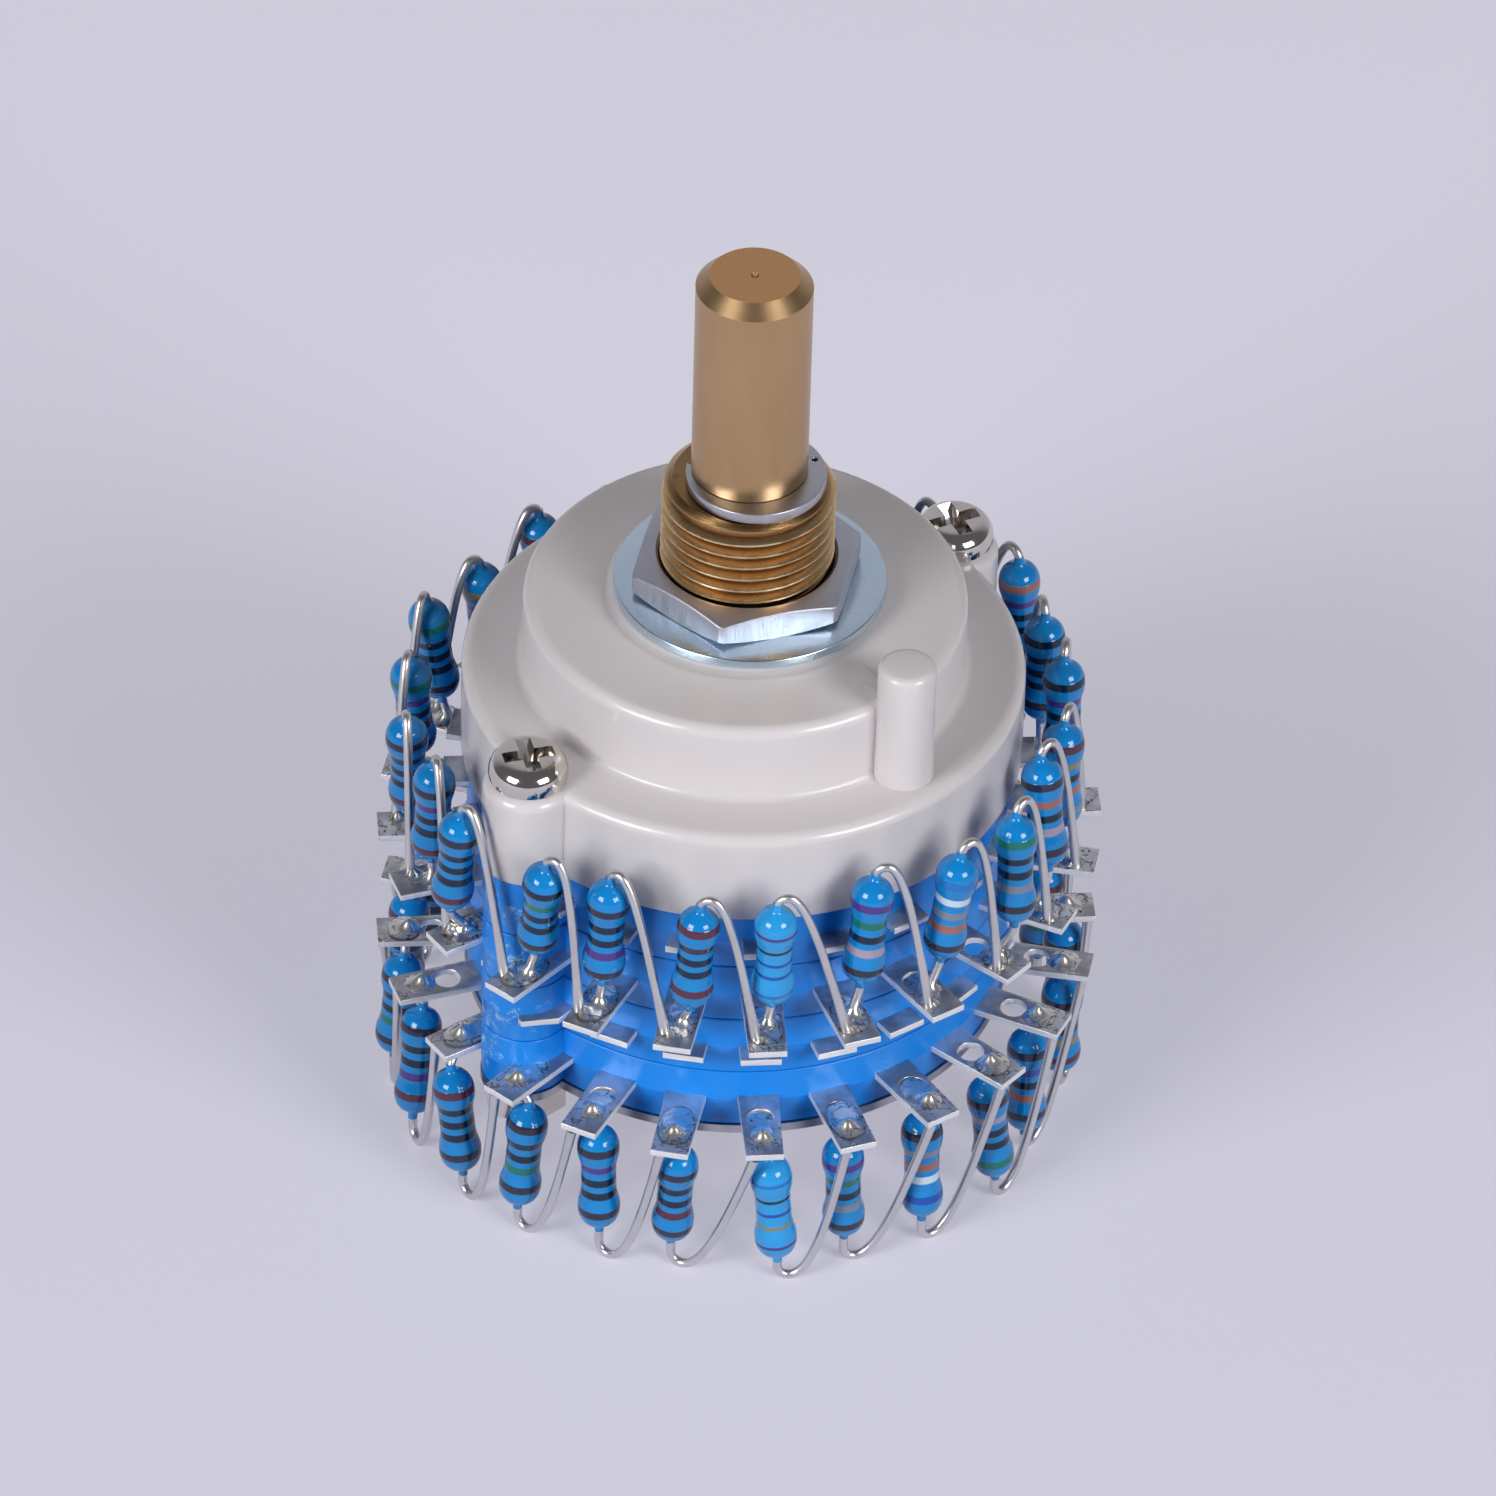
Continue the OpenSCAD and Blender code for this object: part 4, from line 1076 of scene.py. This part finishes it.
def resistorRing(label, codes):
    r, ring = resistor, rings[label]
    pattern = bodyPattern()
    places, turns, widths, slips, enamel = [], [], [], [], []
    painted = [[] for _ in bandCentres]
    rng = random.Random(r["seed"])
    for k in ladder:
        near, way, far = bodyEnds(k, ring["rows"], ring["foot"], ring["z"], ring["side"])
        start, down = (far, -way) if ring["side"] > 0 else (near, way)
        places.append(start)
        spin = Matrix.Rotation(rng.uniform(0, r["spin"]), 3, "Z")
        turns.append(tuple((Vector(down).to_track_quat("Z", "Y").to_matrix() @ spin).to_euler()))
        widths.append(r["thinWidth"] if k in thinRings else r["ringWidth"])
        slips.append(ring["slips"].get(k, rng.uniform(-r["slip"], r["slip"])))
        enamel.append(enamelTones["pale" if k in thinRings else "plain"])
        for i, letter in enumerate(codes[k]):
            painted[i].append(ringTones[letter])
    extras = {"ringWidth": widths, "slip": slips, "enamel": enamel}
    for i, colors in enumerate(painted):
        extras["ring%d" % i] = colors
    points = pointCloud(label + "Resistors", places, turns, extras)
    runTree(copiesOnPoints, points, {"Copy": pattern, "Finish": finishes["resistor"]}, 60)
    bpy.data.objects.remove(pattern)
    return finishPiece(points, "resistor", "frame", label + "_resistors")


resistorRing("upper", upperRings)
resistorRing("lower", lowerRings)
print("resistors made")


# Leads

lead = {
    "radius": 0.24, "sides": 14, "tail": 0.3, "sunk": 0.3, "bend": 0.6, "loopDepth": 8.85,
    "upperSwing": 0.9, "lowerSwing": 1.3, "upperEnd": (1.1, -0.55), "lowerEnd": (1.15, -0.5),
    "upperLug": -15.5, "lowerLug": -23.1, "rest": 0.05, "footShare": 0.35, "footPull": 0.4,
    "shortSteps": 12, "bendSteps": 8, "swingSteps": 25, "straightFrom": 0.01,
    # Girth at points from the foot, and at the loop's end
    "footGirth": ([0, 3, 6], [1.2, 1.05, 1]), "endSteps": 4, "endGirth": 1.15,
}


def freeCurve(start, leaving, arriving, end, steps):
    # A cubic curve between two points, drawn towards two others
    t = np.linspace(0, 1, steps)[:, None]
    u = 1 - t
    return u ** 3 * start + 3 * u ** 2 * t * leaving + 3 * u * t ** 2 * arriving + t ** 3 * end


def loopPath(start, level, end, swing, side):
    # Along to the bend, a quarter turn round it, and a free swing to the next lug
    ahead = end - start
    ahead = unit(np.array([ahead[0], ahead[1], 0]))
    centre = np.array([start[0], start[1], level]) + lead["bend"] * ahead
    crown = centre + np.array([0, 0, side * lead["bend"]])
    turn = crown + swing * ahead
    path = [start] if abs(start[2] - level) > lead["straightFrom"] else []
    for a in np.radians(np.linspace(0, 90, lead["bendSteps"], endpoint=False)):
        way = -math.cos(a) * ahead + np.array([0, 0, side * math.sin(a)])
        path.append(centre + lead["bend"] * way)
    return path + [freeCurve(crown, turn, (turn + end) / 2, end, lead["swingSteps"])]


def leadChains(label):
    ring, n = rings[label], lead
    side, lugZ = ring["side"], n[label + "Lug"]
    endOut, endAlong = n[label + "End"]
    chains, girths = [], []
    for k in ladder:
        near, way, far = bodyEnds(k, ring["rows"], ring["foot"], ring["z"], side)
        row = ring["rows"][k]
        foot = atLug(k, ring["foot"] + n["footShare"] * row[0], n["footShare"] * row[1], lugZ)
        top = near - n["tail"] * way
        pull = np.linalg.norm(top - foot) * n["footPull"]
        up = np.array([0, 0, side * pull])
        short = freeCurve(foot, foot + up, top - way * pull, top, n["shortSteps"])
        chains.append(np.vstack([short, near + n["sunk"] * way]))
        girths.append(np.interp(range(len(chains[-1])), *n["footGirth"]))
        start = far + n["tail"] * way
        end = atLug(k + 1, ring["foot"] + endOut, endAlong, lugZ + side * n["rest"])
        level = start[2] if side > 0 else lugZ - n["loopDepth"] + n["bend"]
        path = loopPath(start, level, end, n[label + "Swing"], side)
        chains.append(np.vstack([far - n["sunk"] * way] + path))
        last = len(chains[-1]) - 1
        swells = last - n["endSteps"]
        girths.append(np.interp(range(last + 1), [swells, last], [1, n["endGirth"]]))
    return chains, girths


for label in rings:
    piece = wirePiece(label + "Leads", *leadChains(label), lead["radius"], lead["sides"])
    finishPiece(piece, "lead", "frame", label + "_leads")
print("leads made")


# Solder

solder = {
    "outer": 18.45, "halfWidth": 0.96, "shortFrom": 16.75, "longFrom": 15.5,
    "filled": (14, 15, 16, 17, 18, 19, 20), "squareness": 2.6, "ripple": 0.13, "rippleScale": 1.3,
    "film": 0.08, "filmWave": 0.4, "waveScale": 1.6, "rimPower": 4, "sunk": 0.01,
    "climb": 0.6, "climbWidth": 0.4, "endSpread": 1.1,
    "dome": 0.5, "domeOut": 17.4, "domeWidth": 0.42, "domeShift": (-0.1, 0.15), "domeAside": 0.15,
    "crinkled": (14, 21), "crinkle": 0.3, "foldScale": 3.4, "crinkledInward": 0.4,
    "around": 36, "rows": 16, "seed": 11, "seedSpan": 50,
}


def solderJoint(rng, k, z, side, peaks, crinkle=0.0):
    # A thin wetted patch on a lug, which rises round each lead and over the eyelet
    s = solder
    around, rows, power = s["around"], s["rows"], s["squareness"]
    start = s["longFrom"] if k in s["filled"] else s["shortFrom"]
    middle, reach = (s["outer"] + start) / 2, (s["outer"] - start) / 2
    seed = rng.uniform(0, s["seedSpan"])
    points, inward = [], []
    for i in range(rows + 1):
        t = i / rows   # 0 at the rim and 1 in the middle
        rim = 1 - (1 - t) ** s["rimPower"]
        for a in evenAngles(around):
            x, y = math.cos(a), math.sin(a)
            ripple = smoothNoise((seed + s["rippleScale"] * x, s["rippleScale"] * y, 0))
            ripple = 1 + s["ripple"] * ripple
            square = (abs(x) ** power + abs(y) ** power) ** (-1 / power)
            px = x * reach * square * ripple * (1 - t)
            py = y * min(s["halfWidth"], s["halfWidth"] * square * ripple) * (1 - t)
            out = middle + px
            rise = sum(height * math.exp(-(((out - o) ** 2 + (py - along) ** 2) / width ** 2))
                       for o, along, height, width in peaks)
            folds = crinkle * abs(smoothNoise((seed, px * s["foldScale"], py * s["foldScale"])))
            wave = s["filmWave"] * smoothNoise((seed, px * s["waveScale"], py * s["waveScale"]))
            height = (s["film"] * (1 + wave) + rise + folds) * rim
            points.append(atLug(k, out, py, z + side * (height - s["sunk"])))
            inward.append(t * (s["crinkledInward"] if crinkle else 1))
    faces = ringFaces(rows + 1, around, False)
    last = rows * around
    faces += [tuple(range(last, last + around)), tuple(reversed(range(around)))]
    if side < 0:
        faces = [tuple(reversed(f)) for f in faces]
    return points, faces, inward


def solderPiece(name, joints, node):
    allPoints, allFaces, allInward = [], [], []
    for points, faces, inward in joints:
        allFaces += [tuple(i + len(allPoints) for i in f) for f in faces]
        allPoints += list(points)
        allInward += inward
    obj = meshObject(name, allPoints, allFaces, 60)
    setPoints(obj, "inward", allInward)
    return finishPiece(obj, "solder", "frame", node)


def leadPeaks(k, label):
    # Where solder climbs: round the resistor's own lead, and round the loop from the last lug
    s, n, ring = solder, lead, rings[label]
    peaks = []
    if k in ladder:
        row = ring["rows"][k]
        peaks.append((ring["foot"] + n["footShare"] * row[0], n["footShare"] * row[1],
                      s["climb"], s["climbWidth"]))
    if (k - 1) % stack["steps"] in ladder:
        endOut, endAlong = n[label + "End"]
        peaks.append((ring["foot"] + endOut, endAlong,
                      s["climb"], s["climbWidth"] * s["endSpread"]))
    return peaks


def eyeletPeak(rng):
    # A dome near the eyelet, a little off its centre
    s = solder
    out = s["domeOut"] + rng.uniform(*s["domeShift"])
    return out, rng.uniform(-s["domeAside"], s["domeAside"]), s["dome"], s["domeWidth"]


rng = random.Random(solder["seed"])
allLugs = range(stack["steps"])
upper = [solderJoint(rng, k, lead["upperLug"], 1, leadPeaks(k, "upper"),
                     solder["crinkle"] if k in solder["crinkled"] else 0.0) for k in allLugs]
solderPiece("upperSolder", upper, "upper_solder")
under = [solderJoint(rng, k, lead["lowerLug"], -1, leadPeaks(k, "lower")) for k in allLugs]
lugTop = lead["lowerLug"] + stack["lugThickness"]
over = [solderJoint(rng, k, lugTop, 1, [eyeletPeak(rng)]) for k in allLugs]
solderPiece("lowerSolder", under + over, "lower_solder")
print("solder made")


# Floor, light and camera

view = {
    "elevation": 39.9, "roll": 1.7, "distance": 600.0, "target": (0.35, 0.0, -11.10),
    "focal": 11497.0, "frame": 1496, "sensor": 36, "clip": (0.01, 20),
}
studio = {
    "floorTone": tone(202, 200, 213), "floorShare": 0.76, "floorGlow": 0.53, "floorReach": 3000,
    "floorRise": 1.1, "floorRiseTo": 60,
    "skyTone": tone(240, 240, 250), "skyFront": 0.14, "skyBack": 0.56, "skyRise": (0.2, 0.85),
    "skyShare": 0.4,
    # Azimuth from the camera's side, elevation, distance, width and height in mm, and watts
    "lamps": [
        ("leftSoftbox", -46, 26, 900, 420, 380, 5.6), ("rightSoftbox", 46, 26, 900, 420, 380, 5.2)],
    "lampTarget": -12,
}


def makeCamera():
    v = view
    elevation, roll = math.radians(v["elevation"]), math.radians(v["roll"])
    forward = Vector((0, math.cos(elevation), -math.sin(elevation)))
    right, up = Vector((1, 0, 0)), Vector((0, math.sin(elevation), math.cos(elevation)))
    acrossFrame = right * math.cos(roll) + up * math.sin(roll)
    upFrame = up * math.cos(roll) - right * math.sin(roll)
    turn = Matrix((acrossFrame, upFrame, -forward)).transposed()
    data = bpy.data.cameras.new("camera")
    data.sensor_width = v["sensor"]
    data.lens = v["focal"] / v["frame"] * v["sensor"]
    data.clip_start, data.clip_end = v["clip"]
    camera = bpy.data.objects.new("camera", data)
    scene.collection.objects.link(camera)
    place = (Vector(v["target"]) - forward * v["distance"]) * mm
    camera.matrix_world = Matrix.Translation(place) @ turn.to_4x4()
    scene.camera = camera


def floorColor(g, place, share):
    # Painted light: the paper's colour brightens slowly towards the back, making up for the
    # softboxes' light, less of which falls there
    s = studio
    near, far = [tuple(share * level * c for c in s["floorTone"][:3]) + (1,)
                 for level in (1, s["floorRise"])]
    return g.mix(g.parts(place)[1].step(0, s["floorRiseTo"] * mm), near, far)


def makeFloor():
    s = studio
    far, low = s["floorReach"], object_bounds()[0].z / mm
    corners = [(-far, -far, low), (far, -far, low), (far, far, low), (-far, far, low)]
    obj = meshObject("floor", corners, [(0, 1, 2, 3)])
    material = surface("paleFloor", lambda g, place: {
        "Base Color": floorColor(g, place, s["floorShare"]),
        "Roughness": 0.9, "Specular IOR Level": 0.0})
    # What the camera and the metals see is as pale as the backdrop, with the object's shadow on it
    g = Graph(material.node_tree, keep=True)
    lit = Reading(g, g.tree.nodes["Principled BSDF"].outputs[0])
    rays = g.add("ShaderNodeLightPath", output=None)
    seen = Reading(g, rays.outputs["Is Camera Ray"]) + Reading(g, rays.outputs["Is Glossy Ray"])
    place = Reading(g, g.tree.nodes["Texture Coordinate"].outputs["Object"])
    glow = g.add("ShaderNodeEmission", {}, {
        "Color": floorColor(g, place, 1.0), "Strength": seen * s["floorGlow"]})
    both = g.add("ShaderNodeAddShader", {}, {0: lit, 1: glow})
    g.tree.links.new(both.link, g.tree.nodes["Material Output"].inputs["Surface"])
    obj.data.materials.append(material)


def makeLights():
    world = bpy.data.worlds.new("studioWorld")
    scene.world = world
    world.use_nodes = True
    g = Graph(world.node_tree)
    s = studio
    away = g.parts(g.add("ShaderNodeTexCoord", {}, {}, "Generated"))[1]
    strength = s["skyFront"] + away.step(*s["skyRise"]) * (s["skyBack"] - s["skyFront"])
    camera = g.add("ShaderNodeLightPath", {}, {}, "Is Camera Ray")
    glossy = g.add("ShaderNodeLightPath", {}, {}, "Is Glossy Ray")
    # Metals see all of the backdrop's glow
    strength = strength * (glossy * (1 - s["skyShare"]) + s["skyShare"])
    plain = g.add("ShaderNodeBackground", {}, {"Color": s["skyTone"], "Strength": strength})
    seen = g.add("ShaderNodeBackground", {}, {"Color": s["floorTone"], "Strength": 1.0})
    both = g.add("ShaderNodeMixShader", {}, {0: camera, 1: plain, 2: seen})
    g.add("ShaderNodeOutputWorld", {}, {"Surface": both}, None)
    for name, azimuth, elevation, distance, width, height, power in s["lamps"]:
        a, e = math.radians(azimuth), math.radians(elevation)
        away = Vector((math.sin(a) * math.cos(e), -math.cos(a) * math.cos(e), math.sin(e)))
        data = bpy.data.lights.new(name, "AREA")
        data.shape, data.energy = "RECTANGLE", power
        data.size, data.size_y = width * mm, height * mm
        lamp = bpy.data.objects.new(name, data)
        scene.collection.objects.link(lamp)
        lamp.location = (away * distance + Vector((0, 0, s["lampTarget"]))) * mm
        lamp.rotation_euler = away.to_track_quat("Z", "Y").to_euler()


makeCamera()
makeFloor()
makeLights()
scene.view_settings.view_transform = "Standard"
print("studio made")
